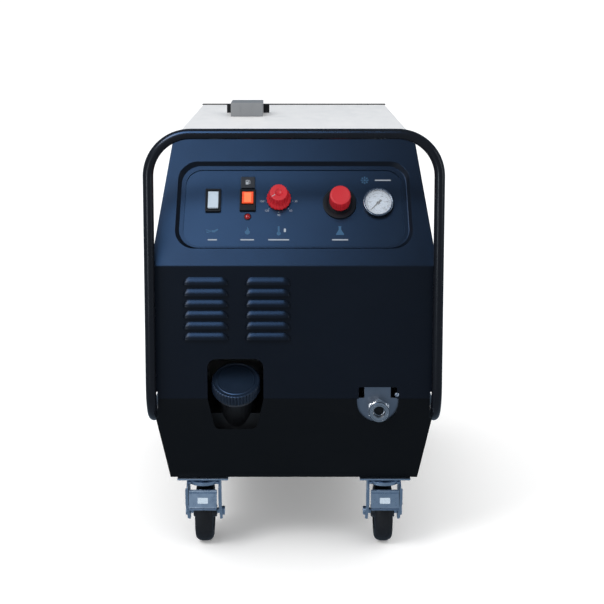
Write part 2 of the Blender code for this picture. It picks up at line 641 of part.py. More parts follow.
def build_outlet():
    face = outlet_plate_depth()
    low, high = SEAM_Z - GAP, SEAM_Z + OUTLET_TAB_RISE
    tab = [(OUTLET_PLATE_X + OUTLET_TAB_HALF, low), (OUTLET_PLATE_X + OUTLET_TAB_HALF, high),
           (OUTLET_PLATE_X - OUTLET_TAB_HALF, high), (OUTLET_PLATE_X - OUTLET_TAB_HALF, low)]
    outline = half_round(OUTLET_NOTCH_HALF + OUTLET_PLATE_LAP, OUTLET_NOTCH_DROP) + tab
    plate = place("outlet_plate", extruded(outline, at(face), at(face + SHEET)), "steel")
    cut(plate, rod(FITTING_RADIUS + GAP, -0.03, 0.03, 20), (OUTLET_X, at(0), OUTLET_Z), ALONG_Y)
    middle = (OUTLET_X, at(0), OUTLET_Z)
    nut_back = face - GAP
    nut_front = nut_back - NUT_THICKNESS
    ahead, chamfer = -FITTING_PROUD, 0.0015
    body = [(COUPLING_BORE, ahead), (COUPLING_RADIUS - chamfer, ahead), (COUPLING_RADIUS, ahead + chamfer),
            (COUPLING_RADIUS, nut_front + 0.001), (FITTING_RADIUS, nut_front + 0.001), (FITTING_RADIUS,
                                                                                        OUTLET_TAIL),
            (FITTING_BORE, OUTLET_TAIL), (FITTING_BORE, ahead + COUPLING_BORE_DEPTH),
            (COUPLING_BORE, ahead + COUPLING_BORE_DEPTH)]
    fitting = place("outlet_fitting", turned(body, 24, ring=True), "steel", middle, ALONG_Y, smooth=True)
    corner = NUT_FLATS / 2 / math.cos(math.pi / 6)
    nut = turned([(FITTING_RADIUS - 0.001, nut_front), (corner, nut_front), (corner, nut_back),
                  (FITTING_RADIUS - 0.001, nut_back)], 6, ring=True)
    join(fitting, nut, middle, (-math.pi / 2, math.pi / 6, 0))


# ---------------------------------------------------------------- controls, in the slope's own frame
def block(middle, half, low, high):
    return box((middle[0] - half[0], middle[1] - half[1], low), (middle[0] + half[0], middle[1] + half[1],
                                                                 high))


def build_control_plate(slope):
    plate = place("control_plate", extruded(recess_outline(PLATE_LAP, PLATE_LAP, PLATE_LAP),
                                            PLATE_TOP - PLATE_SHEET, PLATE_TOP, "z"), "plate_black", parent=slope)
    low, high = PLATE_TOP - 0.01, PLATE_TOP + 0.01
    shrink = ROCKER_RIM - SNAP_FIT
    holes = [block(PUMP_SWITCH, [h - shrink for h in PUMP_SWITCH_HALF], low, high),
             block(BURNER_SWITCH, [h - shrink for h in BURNER_SWITCH_HALF], low, high),
             block(FUEL_LAMP, [h - 0.002 for h in FUEL_LAMP_HALF], low, high)]
    for (x, t), radius in ((BURNER_LED, LED_RADIUS - 0.001 + GAP), (THERMOSTAT, 2 * SPINDLE_RADIUS),
                           (CHEMICAL, 0.012 + GAP), (GAUGE, GAUGE_RADIUS - 0.002)):
        holes.append(shifted(rod(radius, low, high, 20), x, t))
    cut(plate, merged(holes), parent=slope)


def build_switch(slope, name, centre, half, rocker_at, rocker_half, colour):
    """A framed rocker switch: the housing's pocket holds a rocker that tips about a level pin."""
    body = [h - ROCKER_RIM for h in half]
    housing = place(f"{name}_housing", block(centre, half, ON_PLATE, ON_PLATE + 0.006), "black_plastic",
                    parent=slope)
    join(housing, block(centre, body, ON_PLATE - 0.030, ON_PLATE + 0.003), parent=slope)
    pocket = [h + 0.0007 for h in rocker_half]
    cut(housing, block(rocker_at, pocket, ON_PLATE - 0.012, ON_PLATE + 0.02), parent=slope)
    reach = rocker_half[1] - 0.0008
    shape = [(-reach, 0.0042), (0, 0.0018), (reach, 0.0042), (reach, -0.0012), (0, -0.006), (-reach, -0.0012)]
    tilt = -ROCKER_TILT
    turned_shape = [(t * math.cos(tilt) - n * math.sin(tilt), t * math.sin(tilt) + n * math.cos(tilt))
                    for t, n in shape]
    place(f"{name}_rocker", extruded(turned_shape, -rocker_half[0], rocker_half[0], "x"), colour,
          (*rocker_at, ON_PLATE + 0.003), parent=slope)


def build_lamps(slope):
    lamp = place("fuel_lamp", block(FUEL_LAMP, FUEL_LAMP_HALF, ON_PLATE, ON_PLATE + 0.005), "black_plastic",
                 parent=slope)
    join(lamp, block(FUEL_LAMP, [h - 0.003 for h in FUEL_LAMP_HALF], ON_PLATE - 0.022, ON_PLATE + 0.002),
         parent=slope)
    led = [(0, -0.012), (LED_RADIUS - 0.001, -0.012), (LED_RADIUS - 0.001, 0), (LED_RADIUS, 0),
           (LED_RADIUS, 0.001),
           (LED_RADIUS - 0.0012, 0.0015), (LED_RADIUS - 0.002, 0.0035), (0, 0.0045)]
    place("burner_led", turned(led, 14), "red_lens", (*BURNER_LED, ON_PLATE), parent=slope, smooth=True)


def build_thermostat(slope):
    below = -PLATE_SHEET - 2 * GAP
    grip = 0.016
    body = [(0, below - 0.045), (0.019, below - 0.045), (0.019, below), (SPINDLE_RADIUS, below),
            (SPINDLE_RADIUS, grip), (0, grip)]
    place("thermostat_body", turned(body, 16), "dark_steel", (*THERMOSTAT, ON_PLATE), parent=slope,
          smooth=True)
    bore = SPINDLE_RADIUS + RUNNING
    base, top, height = THERMOSTAT_BASE, THERMOSTAT_TOP, THERMOSTAT_HEIGHT
    knob = [(0, grip + GAP), (bore, grip + GAP), (bore, 0.0005), (base, 0.0005), (base, 0.007),
            (base - 0.0025, 0.012),
            (top, 0.020), (top, height - 0.003), (top - 0.003, height), (0.0055, height), (0.0048,
                                                                                           height - 0.002),
            (0, height - 0.002)]
    place("thermostat_knob", turned(knob, 28, flute=0.0012, flute_from=top - 0.0001), "red_plastic",
          (*THERMOSTAT, ON_PLATE), parent=slope, smooth=True)


def build_chemical(slope):
    ring, lift = CHEMICAL_RING_RADIUS, CHEMICAL_RING_HEIGHT
    stem, rise = CHEMICAL_STEM_RADIUS, CHEMICAL_STEM_HEIGHT
    valve = [(0, -0.050), (0.012, -0.050), (0.012, 0), (ring, 0), (ring, lift - 0.001), (ring - 0.002, lift),
             (ring - 0.009, lift), (ring - 0.010, lift - 0.0015), (stem + 0.004, lift - 0.0015), (stem,
                                                                                                  lift + 0.002),
             (stem, rise), (0, rise)]
    place("chemical_valve", turned(valve, 28), "black_plastic", (*CHEMICAL, ON_PLATE), parent=slope,
          smooth=True)
    low, high, radius = rise - 0.006, rise - 0.006 + CHEMICAL_KNOB_HEIGHT, CHEMICAL_KNOB_RADIUS
    knob = [(0, rise + GAP), (stem + RUNNING, rise + GAP), (stem + RUNNING, low), (radius - 0.001, low),
            (radius, low + 0.002), (radius, high - 0.003), (radius - 0.003, high), (0, high)]
    place("chemical_knob", turned(knob, 32, flute=0.0010, flute_from=radius - 0.0005), "red_plastic",
          (*CHEMICAL, ON_PLATE), parent=slope, smooth=True)


def build_gauge(slope):
    radius, proud = GAUGE_RADIUS, GAUGE_PROUD
    throat, floor_at = radius - 0.004, 0.002
    case = [(0, -0.022), (radius - 0.0025, -0.022), (radius - 0.0025, 0), (radius, 0),
            (radius, proud - 0.002),
            (radius - 0.0015, proud), (throat + 0.0006, proud), (throat, proud - 0.001), (throat, floor_at),
            (0, floor_at)]
    centre = (*GAUGE, ON_PLATE)
    place("gauge_case", turned(case, 32), "dark_steel", centre, parent=slope, smooth=True)
    dial = tube(throat - GAP, 0.0022, floor_at + GAP, floor_at + 0.0012, 28)
    place("gauge_dial", dial, "dial_white", centre, parent=slope)
    level = floor_at + 0.0012 + GAP
    needle = place("gauge_needle", rod(0.0035, level, level + 0.0014, 12), "black_plastic", centre,
                   parent=slope)
    aim = -math.pi * 3 / 4
    tip, tail, half = 0.021, 0.009, 0.0007
    outline = [(-tail, -2 * half), (tip, -half / 2), (tip, half / 2), (-tail, 2 * half)]
    outline = [(x * math.cos(aim) - t * math.sin(aim), x * math.sin(aim) + t * math.cos(aim)) for x,
               t in outline]
    join(needle, extruded(outline, level + 0.0003, level + 0.0011, "z"), centre, parent=slope)
    place("gauge_lens", rod(throat - GAP, proud - 0.0032, proud - 0.0014, 28), "clear", centre, parent=slope)


# ---------------------------------------------------------------- fuel
def build_fuel():
    """The cap's frame has its origin on the cap's crown and local Z out along the filler's axis."""
    tilt = math.pi / 2 - CAP_RISE
    cap_at = (CAP_X, at(CAP_DEPTH), CAP_Z)
    filler = frame_empty("filler_axis", cap_at, tilt)
    inner, radius = CAP_RADIUS - CAP_WALL, CAP_RADIUS
    cap = [(0, -CAP_CROWN), (inner, -CAP_CROWN), (inner, -CAP_HEIGHT), (radius, -CAP_HEIGHT),
           (radius, -0.004),
           (radius - 0.002, -0.0008), (radius - 0.007, 0), (radius - 0.012, -0.0012), (0, -0.0012)]
    place("fuel_cap", turned(cap, 2 * CAP_FLUTES, flute=0.0014, flute_from=radius - 0.0021), "black_plastic",
          parent=filler, smooth=True)
    seal_top = -CAP_CROWN - GAP
    seal = rod(NECK_RADIUS, seal_top - SEAL_THICKNESS, seal_top, 24)
    place("fuel_cap_seal", seal, "rubber", parent=filler)

    (x0, d0, h0), (x1, d1, h1) = TANK
    floor = FLOOR_Z + GAP
    low, high = (x0, at(d0), floor + h0), (x1, at(d1), floor + h1)
    tank = place("fuel_tank", box(low, high), "tank_plastic")
    neck_top = seal_top - SEAL_THICKNESS - GAP
    neck_foot = -(CAP_Z - high[2]) / math.sin(CAP_RISE) - 0.030
    collar = -CAP_HEIGHT - 0.004
    neck = [(0, neck_top), (NECK_RADIUS, neck_top), (NECK_RADIUS, collar), (COLLAR_RADIUS, collar),
            (COLLAR_RADIUS, collar - 0.005), (NECK_RADIUS, collar - 0.007), (NECK_RADIUS, neck_foot), (0,
                                                                                                       neck_foot)]
    join(tank, turned(neck, 24), cap_at, (tilt, 0, 0))
    wall = 0.004
    cut(tank, box([v + wall for v in low], [v - wall for v in high]))
    cut(tank, rod(NECK_BORE, neck_foot - 0.004, 0.01, 24), cap_at, (tilt, 0, 0))


# ---------------------------------------------------------------- running gear
def build_castor(side, sign):
    """Pieces are placed about the swivel axis; the wheel trails behind it."""
    here = (sign * CASTOR_X, at(CASTOR_DEPTH), 0)
    x, y = here[:2]
    width, depth = CASTOR_PLATE
    under = CASTOR_HEIGHT - CASTOR_PLATE_THICKNESS
    plate = place(f"castor_{side}_plate", box((-width, -depth, under), (width, depth, CASTOR_HEIGHT)),
                  "zinc", here)
    race = under - CASTOR_RACE_DROP
    join(plate, turned([(0, under + 0.001), (CASTOR_RACE_RADIUS, under + 0.001),
                        (CASTOR_RACE_RADIUS, race + 0.003),
                        (CASTOR_RACE_RADIUS - 0.004, race), (0, race)], 20), here)

    crown_top = race - GAP
    crown = crown_top - CROWN_THICKNESS
    fork = place(f"castor_{side}_fork", rod(CROWN_RADIUS, crown, crown_top, 20), "zinc", here)
    axle_z = CASTOR_WHEEL_RADIUS
    leg = [(-0.020, crown_top - 0.001), (-0.030, crown_top - 0.012), (-0.026, 0.100),
           (CASTOR_TRAIL - 0.015, axle_z - 0.006),
           (CASTOR_TRAIL - 0.008, axle_z - FORK_FOOT), (CASTOR_TRAIL + 0.008, axle_z - FORK_FOOT),
           (CASTOR_TRAIL + 0.015, axle_z - 0.006), (0.034, crown_top - 0.012), (0.026, crown_top - 0.001)]
    inner, outer = FORK_HALF - FORK_SHEET, FORK_HALF
    legs = merged([extruded(leg, min(s * inner, s * outer), max(s * inner, s * outer), "x") for s in (-1, 1)])
    join(fork, legs, here)
    join(fork, box((-inner - 0.001, -0.020, crown), (inner + 0.001, 0.026, crown + 0.004)), here)
    cut(fork, rod(AXLE_RADIUS + RUNNING, -0.05, 0.05, 12), (x, y + CASTOR_TRAIL, axle_z), ALONG_X)

    half = CASTOR_WHEEL_WIDTH / 2
    bore, radius = AXLE_RADIUS + RUNNING, CASTOR_WHEEL_RADIUS
    tyre = [(bore, half + 0.006), (bore, -half - 0.006), (0.013, -half - 0.006), (0.016, -half + 0.006),
            (0.038, -half + 0.006), (0.044, -half), (0.052, -half), (radius - 0.004, -half + 0.004),
            (radius, -half + 0.012), (radius, half - 0.012), (radius - 0.004, half - 0.004), (0.052, half),
            (0.044, half), (0.038, half - 0.006), (0.016, half - 0.006), (0.013, half + 0.006)]
    place(f"castor_{side}_wheel", turned(tyre, 26, ring=True), "rubber", (x, y + CASTOR_TRAIL, axle_z),
          ALONG_X,
          smooth=True)
    end = FORK_HALF + 0.007
    axle = [(0, -end), (0.0095, -end), (0.0095, -FORK_HALF - GAP), (AXLE_RADIUS, -FORK_HALF - GAP),
            (AXLE_RADIUS, FORK_HALF + GAP), (0.0095, FORK_HALF + GAP), (0.0095, end), (0, end)]
    place(f"castor_{side}_axle", turned(axle, 12), "zinc", (x, y + CASTOR_TRAIL, axle_z), ALONG_X)

    ahead, height = PEDAL_PIVOT
    pedal = place(f"castor_{side}_brake_pedal", rod(PEDAL_BARREL, -PEDAL_HALF, PEDAL_HALF, 10), "zinc",
                  (x, y + ahead, height), ALONG_X)
    down = Vector((-math.cos(PEDAL_SLOPE), -math.sin(PEDAL_SLOPE)))
    out = Vector((down.y, -down.x))
    far = down * PEDAL_LENGTH
    lip = far + (down * 0.4 + out).normalized() * PEDAL_LIP
    skin = -out * PEDAL_SHEET
    sheet = [tuple(v) for v in (Vector((0, 0)), far, lip, lip + skin * 0.9 + down * 0.0008, far + skin, skin)]
    join(pedal, extruded(sheet, -PEDAL_HALF, PEDAL_HALF, "x"), (x, y + ahead, height))


def build_rear_wheels():
    y, z = at(REAR_DEPTH), REAR_RADIUS
    end = REAR_INNER_X + REAR_WIDTH - 0.001
    place("rear_axle", rod(REAR_AXLE_RADIUS, -end, end, 16), "steel", (0, y, z), ALONG_X, smooth=True)
    w, r, rim, web = REAR_WIDTH / 2, REAR_RADIUS, REAR_RADIUS - REAR_TYRE, 0.005
    bore = REAR_AXLE_RADIUS + RUNNING
    side_of = [(bore, w - 0.001), (0.020, w - 0.001), (0.024, web), (rim - 0.012, web),
               (rim - 0.006, w - 0.003),
               (rim, w - 0.003), (rim + 0.005, w), (r - 0.008, w), (r, w - 0.007)]
    profile = side_of[::-1] + [(radius, -height) for radius, height in side_of]
    for side, sign in (("left", -1), ("right", 1)):
        place(f"rear_wheel_{side}", turned(profile, 30, ring=True), "rubber",
              (sign * (REAR_INNER_X + w), y, z), ALONG_X, smooth=True)


# ---------------------------------------------------------------- motor and pump
def build_motor_and_pump():
    y, z = at(MOTOR_DEPTH), MOTOR_Z
    x0, x1 = MOTOR_X
    bore = MOTOR_SHAFT_RADIUS + RUNNING
    shell = [(bore, x1), (bore, x0), (MOTOR_RADIUS - 0.010, x0), (MOTOR_RADIUS, x0 + 0.008),
             (MOTOR_RADIUS, x1 - 0.008), (MOTOR_RADIUS - 0.010, x1)]
    motor = place("motor_housing", turned(shell, 28, ring=True), "motor_grey", (0, y, z), ALONG_X,
                  smooth=True)
    feet = box((x0 + 0.03, y - 0.060, FLOOR_Z + GAP), (x1 - 0.03, y + 0.060, FLOOR_Z + GAP + 0.030))
    join(motor, feet)
    fan_x = x0 - 0.022
    shaft = [(0, x1 + 0.030), (MOTOR_SHAFT_RADIUS, x1 + 0.030), (MOTOR_SHAFT_RADIUS, x0 - GAP),
             (MOTOR_SHAFT_RADIUS, fan_x - 0.008), (0, fan_x - 0.008)]
    rotor = place("motor_rotor", turned(shaft[::-1], 16), "black_plastic", (0, y, z), ALONG_X)
    blades = [box((fan_x - 0.006, -0.062, -0.0015), (fan_x + 0.010, 0.062, 0.0015))]
    for k in range(3):
        join(rotor, blades[0], (0, y, z), (k * math.pi / 3, 0, 0))
    near, far = x0 - GAP, x0 - FAN_COVER_LENGTH
    r, wall = MOTOR_RADIUS - 0.002, 0.002
    cover = [(0.020, far), (r, far), (r, near), (r - wall, near), (r - wall, far + wall), (0.020, far + wall)]
    place("motor_fan_cover", turned(cover, 28, ring=True), "motor_grey", (0, y, z), ALONG_X, smooth=True)

    case_x = x1 + GAP
    half = PUMP_CASE_HALF
    case = place("pump_crankcase", box((case_x, y - half, z - half), (case_x + PUMP_CASE_LENGTH, y + half,
                                                                      z + half)),
                 "motor_grey")
    join(case, box((case_x + 0.02, y - 0.045, FLOOR_Z + GAP), (case_x + 0.09, y + 0.045, z)))
    cut(case, rod(bore, x1 - 0.01, x1 + 0.034, 16), (0, y, z), ALONG_X)
    head_x = case_x + PUMP_CASE_LENGTH + GAP
    half = PUMP_HEAD_HALF
    head = place("pump_head", box((head_x, y - half, z - half), (head_x + PUMP_HEAD_LENGTH, y + half,
                                                                 z + half)), "brass")
    caps = [shifted(rod(0.011, z + half - 0.002, z + half + 0.008, 12), head_x + 0.018 + 0.034 * j,
                    y + 0.030 * i)
            for i in (-1, 0, 1) for j in (0, 1) if (i, j) != (0, 1)]
    join(head, merged(caps))
    return head_x + 0.052, z + half


# ---------------------------------------------------------------- boiler, burner and flue
def build_boiler():
    x, y = BOILER_X, at(BOILER_DEPTH)
    low, high, r, wall = FLOOR_Z + GAP, BOILER_TOP_Z, BOILER_RADIUS, BOILER_WALL
    shell = [(r, low), (r, high), (0, high), (0, high - wall), (r - wall, high - wall), (r - wall, low)]
    jacket = place("boiler_jacket", turned(shell, 32, ring=True), "steel", (x, y, 0), smooth=True)
    cut(jacket, rod(BLAST_RADIUS + GAP, high - 0.02, high + 0.02, 20), (BURNER_X + BLOWER_LENGTH / 2,
                                                                        at(BURNER_DEPTH), 0))
    cut(jacket, rod(FLUE_RADIUS + GAP, high - 0.02, high + 0.02, 20), (FLUE_X, at(FLUE_DEPTH), 0))

    points = []
    steps = 12
    start = low + 0.06
    for k in range(COIL_TURNS * steps + 1):
        turn = math.tau * k / steps
        points.append((x + COIL_RADIUS * math.cos(turn), y + COIL_RADIUS * math.sin(turn),
                       start + COIL_PITCH * k / steps))
    pipe("boiler_coil", points, COIL_TUBE, "steel", 1)

    foot, top = high - 0.004, TOP_Z + 0.002
    duct = tube(FLUE_RADIUS, FLUE_RADIUS - FLUE_WALL, foot, top, 20)
    place("flue_duct", duct, "steel", (FLUE_X, at(FLUE_DEPTH), 0), smooth=True)
    half, deep, sheet = COWL_HALF, COWL_HALF_DEPTH, COWL_SHEET
    base = TOP_Z + GAP
    cowl = place("flue_cowl", box((-half, -deep, base), (half, deep, base + COWL_HEIGHT)), "grey_paint",
                 (FLUE_X, at(FLUE_DEPTH), 0))
    cut(cowl, box((-half + sheet, -deep + sheet, base - 0.01),
                  (half - sheet, deep + 0.01, base + COWL_HEIGHT - sheet)),
        (FLUE_X, at(FLUE_DEPTH), 0))
    behind = at(FLUE_DEPTH + COWL_HALF_DEPTH) + 0.010
    place("flue_deflector", box((-STRIP_HALF, 0, base), (STRIP_HALF, 0.004,
                                                         base + STRIP_LIFT + STRIP_HEIGHT)),
          "black_paint", (FLUE_X, behind, 0))


def build_burner():
    x, y, z = BURNER_X, at(BURNER_DEPTH), BURNER_Z
    r, wall, length = BLOWER_RADIUS, BLOWER_WALL, BLOWER_LENGTH
    shaft, eye = 0.006, 0.030
    shell = [(r, x), (r, x + length), (eye, x + length), (eye, x + length - wall),
             (r - wall, x + length - wall),
             (r - wall, x + wall), (shaft + 0.004, x + wall), (shaft + 0.004, x)]
    blower = place("burner_blower", turned(shell, 28, ring=True), "dark_steel", (0, y, z), ALONG_X,
                   smooth=True)
    foot = BOILER_TOP_Z - 0.010 - z
    join(blower, rod(BLAST_RADIUS, foot, -r * 0.75, 20), (x + length / 2, y, z))
    cut(blower, rod(r - wall, x + wall, x + length - wall, 28), (0, y, z), ALONG_X)
    cut(blower, rod(BLAST_RADIUS - wall, foot - 0.01, -0.02, 20), (x + length / 2, y, z))

    reach = 0.038
    motor = [(0, x - 0.085), (reach, x - 0.085), (reach, x - GAP), (shaft + RUNNING, x - GAP),
             (shaft + RUNNING, x - 0.040), (0, x - 0.040)]
    place("burner_motor", turned(motor, 20), "black_plastic", (0, y, z), ALONG_X, smooth=True)
    wheel = [(0, x - 0.036), (shaft, x - 0.036), (shaft, x + 0.010), (0.055, x + 0.010), (0.055, x + 0.014),
             (0.020, x + 0.014), (0.014, x + 0.052), (0, x + 0.052)]
    fan = place("burner_fan", turned(wheel, 20), "steel", (0, y, z), ALONG_X)
    blades = [box((x + 0.013, -0.054, -0.0012), (x + 0.050, 0.054, 0.0012))]
    for k in range(4):
        join(fan, blades[0], (0, y, z), (k * math.pi / 4, 0, 0))
    pump = [(0, x + length + 0.006), (0.020, x + length + 0.006), (0.020, x + length + 0.040),
            (0, x + length + 0.040)]
    fuel_pump = place("burner_fuel_pump", turned(pump, 16), "brass", (0, y, z), ALONG_X, smooth=True)
    join(fuel_pump, box((x + length + GAP, -0.008, -0.045), (x + length + 0.010, 0.008, 0.045)), (0, y, z))


# ---------------------------------------------------------------- other inner pieces
def build_inner_pieces(pump_outlet):
    depth = at(0.312)
    half = TRAY_LOW_HALF - 2 * SHEET
    place("bulkhead", box((-half, depth, FLOOR_Z + GAP), (half, depth + 0.003, 0.560)),
          "dark_steel")
    place("electrical_box", box((-0.20, depth - 0.0903, 0.370), (0.00, depth - GAP, 0.540)), "grey_paint")

    x, z = pump_outlet
    y = at(MOTOR_DEPTH)
    side = BOILER_X + BOILER_RADIUS + GAP
    boiler_y = at(BOILER_DEPTH)
    pump_pipe = [(x, y, z + GAP), (x, y, z + 0.06), (x, boiler_y, z + 0.06), (side, boiler_y, z + 0.06)]
    pipe("pump_pipe", bent_path(pump_pipe, [0.025, 0.018], 4), 0.007, "copper")
    back = at(OUTLET_TAIL + GAP)
    turn = at(0.292)
    up = BOILER_TOP_Z - 0.03
    outlet_pipe = [(OUTLET_X, back, OUTLET_Z), (OUTLET_X, turn, OUTLET_Z), (OUTLET_X, turn, up),
                   (OUTLET_X, boiler_y, up), (side, boiler_y, up)]
    pipe("outlet_pipe", bent_path(outlet_pipe, [0.03, 0.03, 0.028], 4), 0.009, "copper")


def main():
    for obj in list(bpy.data.objects):
        bpy.data.objects.remove(obj, do_unlink=True)
    slope = frame_empty("slope", (0, at(0), FOLD_Z), math.pi / 2 - LEAN)
    build_tray()
    build_front_panel(slope)
    build_hood()
    build_rear_panel()
    build_rear_fittings()
    build_roll_bar()
    build_outlet()
    build_control_plate(slope)
    build_switch(slope, "pump_switch", PUMP_SWITCH, PUMP_SWITCH_HALF, PUMP_SWITCH,
                 [h - ROCKER_RIM - 0.0017 for h in PUMP_SWITCH_HALF], "white_plastic")
    up = (BURNER_SWITCH[0], BURNER_SWITCH[1] + 0.0045)
    build_switch(slope, "burner_switch", BURNER_SWITCH, BURNER_SWITCH_HALF, up, (0.0117, 0.0140),
                 "orange_plastic")
    build_lamps(slope)
    build_thermostat(slope)
    build_chemical(slope)
    build_gauge(slope)
    build_fuel()
    for side, sign in (("left", -1), ("right", 1)):
        build_castor(side, sign)
    build_rear_wheels()
    build_boiler()
    build_burner()
    build_inner_pieces(build_motor_and_pump())


main()
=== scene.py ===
import json
import math
import bmesh
import bpy
from mathutils import Matrix, Vector

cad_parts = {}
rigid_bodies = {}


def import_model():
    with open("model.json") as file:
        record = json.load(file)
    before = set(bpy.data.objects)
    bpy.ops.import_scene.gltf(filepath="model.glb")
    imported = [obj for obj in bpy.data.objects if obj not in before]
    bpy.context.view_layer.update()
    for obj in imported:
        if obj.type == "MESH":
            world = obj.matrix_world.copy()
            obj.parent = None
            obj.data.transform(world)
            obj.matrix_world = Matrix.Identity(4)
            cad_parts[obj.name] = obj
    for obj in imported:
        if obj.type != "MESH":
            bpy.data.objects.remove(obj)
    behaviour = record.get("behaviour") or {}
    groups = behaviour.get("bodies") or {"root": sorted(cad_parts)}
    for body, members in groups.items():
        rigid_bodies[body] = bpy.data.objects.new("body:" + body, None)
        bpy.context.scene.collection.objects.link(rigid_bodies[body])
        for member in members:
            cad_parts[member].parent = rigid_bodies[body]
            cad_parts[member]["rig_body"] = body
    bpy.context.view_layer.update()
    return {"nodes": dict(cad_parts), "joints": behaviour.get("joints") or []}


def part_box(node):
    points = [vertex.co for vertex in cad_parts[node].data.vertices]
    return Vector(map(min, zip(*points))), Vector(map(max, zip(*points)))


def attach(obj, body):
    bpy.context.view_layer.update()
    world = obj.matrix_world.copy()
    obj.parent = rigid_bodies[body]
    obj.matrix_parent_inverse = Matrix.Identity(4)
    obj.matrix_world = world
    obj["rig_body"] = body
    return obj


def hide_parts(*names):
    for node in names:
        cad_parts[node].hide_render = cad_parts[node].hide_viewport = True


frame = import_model()
JOINT = {j["name"]: j for j in frame["joints"]}


def middle(node):
    low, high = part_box(node)
    return (low + high) / 2


# ---------------------------------------------------------------- places, all from the frame
panel_points = [v.co for v in frame["nodes"]["front_panel"].data.vertices]
PANEL_HALF = max(p.x for p in panel_points)
EDGE = [p for p in panel_points if p.x > PANEL_HALF - 1e-5]
FRONT_Y = min(p.y for p in EDGE)
PANEL_Z, FOLD_Z = min(p.z for p in panel_points), max(p.z for p in EDGE)
TOP_Z = max(p.z for p in panel_points)
PANEL_TOP_HALF = max(p.x for p in panel_points if p.z > TOP_Z - 1e-5)
OUT = -Vector(JOINT["thermostat_turn"]["axis"]).normalized()
UP = Vector((0, OUT.z, -OUT.y))
TOP_DEPTH = (TOP_Z - FOLD_Z) * UP.y / UP.z
SLOPE = Matrix(((1, 0, 0, 0), (0, UP.y, OUT.y, FRONT_Y), (0, UP.z, OUT.z, FOLD_Z), (0, 0, 0, 1)))
INTO_SLOPE = SLOPE.inverted()
HOOD_LOW, HOOD_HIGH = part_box("hood")
BAR_LOW, BAR_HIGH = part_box("roll_bar")
PLATE_POINTS = [INTO_SLOPE @ v.co for v in frame["nodes"]["control_plate"].data.vertices]
PLATE_TOP = max(p.z for p in PLATE_POINTS)
GAP = 0.0003            # between pieces that touch
ON_PLATE = PLATE_TOP + GAP
SHEET = 0.003           # panel and hood
WELD = 2e-6             # points closer than this are one


def on_slope(node):
    """(lowest, highest) corners of a node in the slope's frame: side, along the slope, out of it."""
    points = [INTO_SLOPE @ v.co for v in frame["nodes"][node].data.vertices]
    return (Vector([min(p[k] for p in points) for k in range(3)]),
            Vector([max(p[k] for p in points) for k in range(3)]))


def slope_middle(node):
    low, high = on_slope(node)
    return (low + high) / 2


# ---------------------------------------------------------------- materials
MATERIALS = {}


def fill(node, values):
    for name, value in values.items():
        node.inputs[name].default_value = value


def finish(name, colour, roughness, metallic=0.0, vary=0.10, rough_vary=0.08, blotch=14.0, grain=900.0,
           bump=0.00003, brushed=None, specular=0.5, coat=0.0, alpha=1.0):
    """Colour that drifts over the surface, a fine grain in the bump, and roughness that varies."""
    made = bpy.data.materials.new(name)
    made.use_nodes = True
    tree = made.node_tree
    nodes, link = tree.nodes, tree.links.new
    shader = nodes["Principled BSDF"]
    fill(shader, {"Metallic": metallic, "Specular IOR Level": specular, "Coat Weight": coat,
                  "Coat Roughness": 0.12, "Alpha": alpha})
    place = nodes.new("ShaderNodeTexCoord")
    source = place.outputs["Object"]
    if brushed:
        stretch = nodes.new("ShaderNodeMapping")
        fill(stretch, {"Scale": brushed})
        link(source, stretch.inputs["Vector"])
        source = stretch.outputs["Vector"]

    def noise(scale, detail, vector):
        texture = nodes.new("ShaderNodeTexNoise")
        fill(texture, {"Scale": scale, "Detail": detail})
        link(vector, texture.inputs["Vector"])
        return texture.outputs["Fac"]

    broad = noise(blotch, 4.0, place.outputs["Object"])
    fine = noise(grain, 2.0, source)
    mixed = nodes.new("ShaderNodeMix")
    mixed.data_type = "RGBA"
    low = [c * (1 - vary) for c in colour]
    high = [min(1.0, c * (1 + vary)) for c in colour]
    fill(mixed, {6: (*low, 1), 7: (*high, 1)})
    link(broad, mixed.inputs[0])
    link(mixed.outputs[2], shader.inputs["Base Color"])
    rough = nodes.new("ShaderNodeMapRange")
    fill(rough, {"From Min": 0.3, "From Max": 0.7, "To Min": max(0.02, roughness - rough_vary),
                 "To Max": min(1.0, roughness + rough_vary)})
    link(noise(blotch * 3.1, 5.0, source), rough.inputs["Value"])
    link(rough.outputs["Result"], shader.inputs["Roughness"])
    relief = nodes.new("ShaderNodeBump")
    fill(relief, {"Strength": 1.0, "Distance": bump})
    link(fine, relief.inputs["Height"])
    link(relief.outputs["Normal"], shader.inputs["Normal"])
    MATERIALS[name] = made


finish("panel_paint", (0.0022, 0.0042, 0.0088), 0.32, vary=0.20, rough_vary=0.02, specular=0.16,
       grain=1700, bump=0.00002, blotch=6)
finish("tray_paint", (0.0022, 0.0030, 0.0042), 0.36, vary=0.20, rough_vary=0.02, specular=0.14,
       grain=1700, bump=0.00002, blotch=6)
finish("bar_paint", (0.0042, 0.0048, 0.0070), 0.26, vary=0.20, rough_vary=0.03, specular=0.28,
       grain=1800, bump=0.00001, blotch=8)
finish("dark_paint", (0.0050, 0.0058, 0.0075), 0.45, vary=0.2, specular=0.3, grain=1500)
finish("white_paint", (0.79, 0.79, 0.79), 0.38, vary=0.012, specular=0.4, grain=1400, bump=0.00004)
finish("control_film", (0.0028, 0.0058, 0.0120), 0.30, vary=0.12, rough_vary=0.015, specular=0.18,
       grain=2600, bump=0.000008, blotch=5)
finish("stainless", (0.30, 0.32, 0.36), 0.34, 1.0, vary=0.10, brushed=(1, 1, 30), grain=180,
       bump=0.00002, blotch=30)
finish("fitting_steel", (0.58, 0.58, 0.59), 0.24, 1.0, vary=0.10, grain=700, blotch=60, bump=0.00002)
finish("plated", (0.60, 0.62, 0.66), 0.30, 1.0, vary=0.08, grain=800, blotch=40)
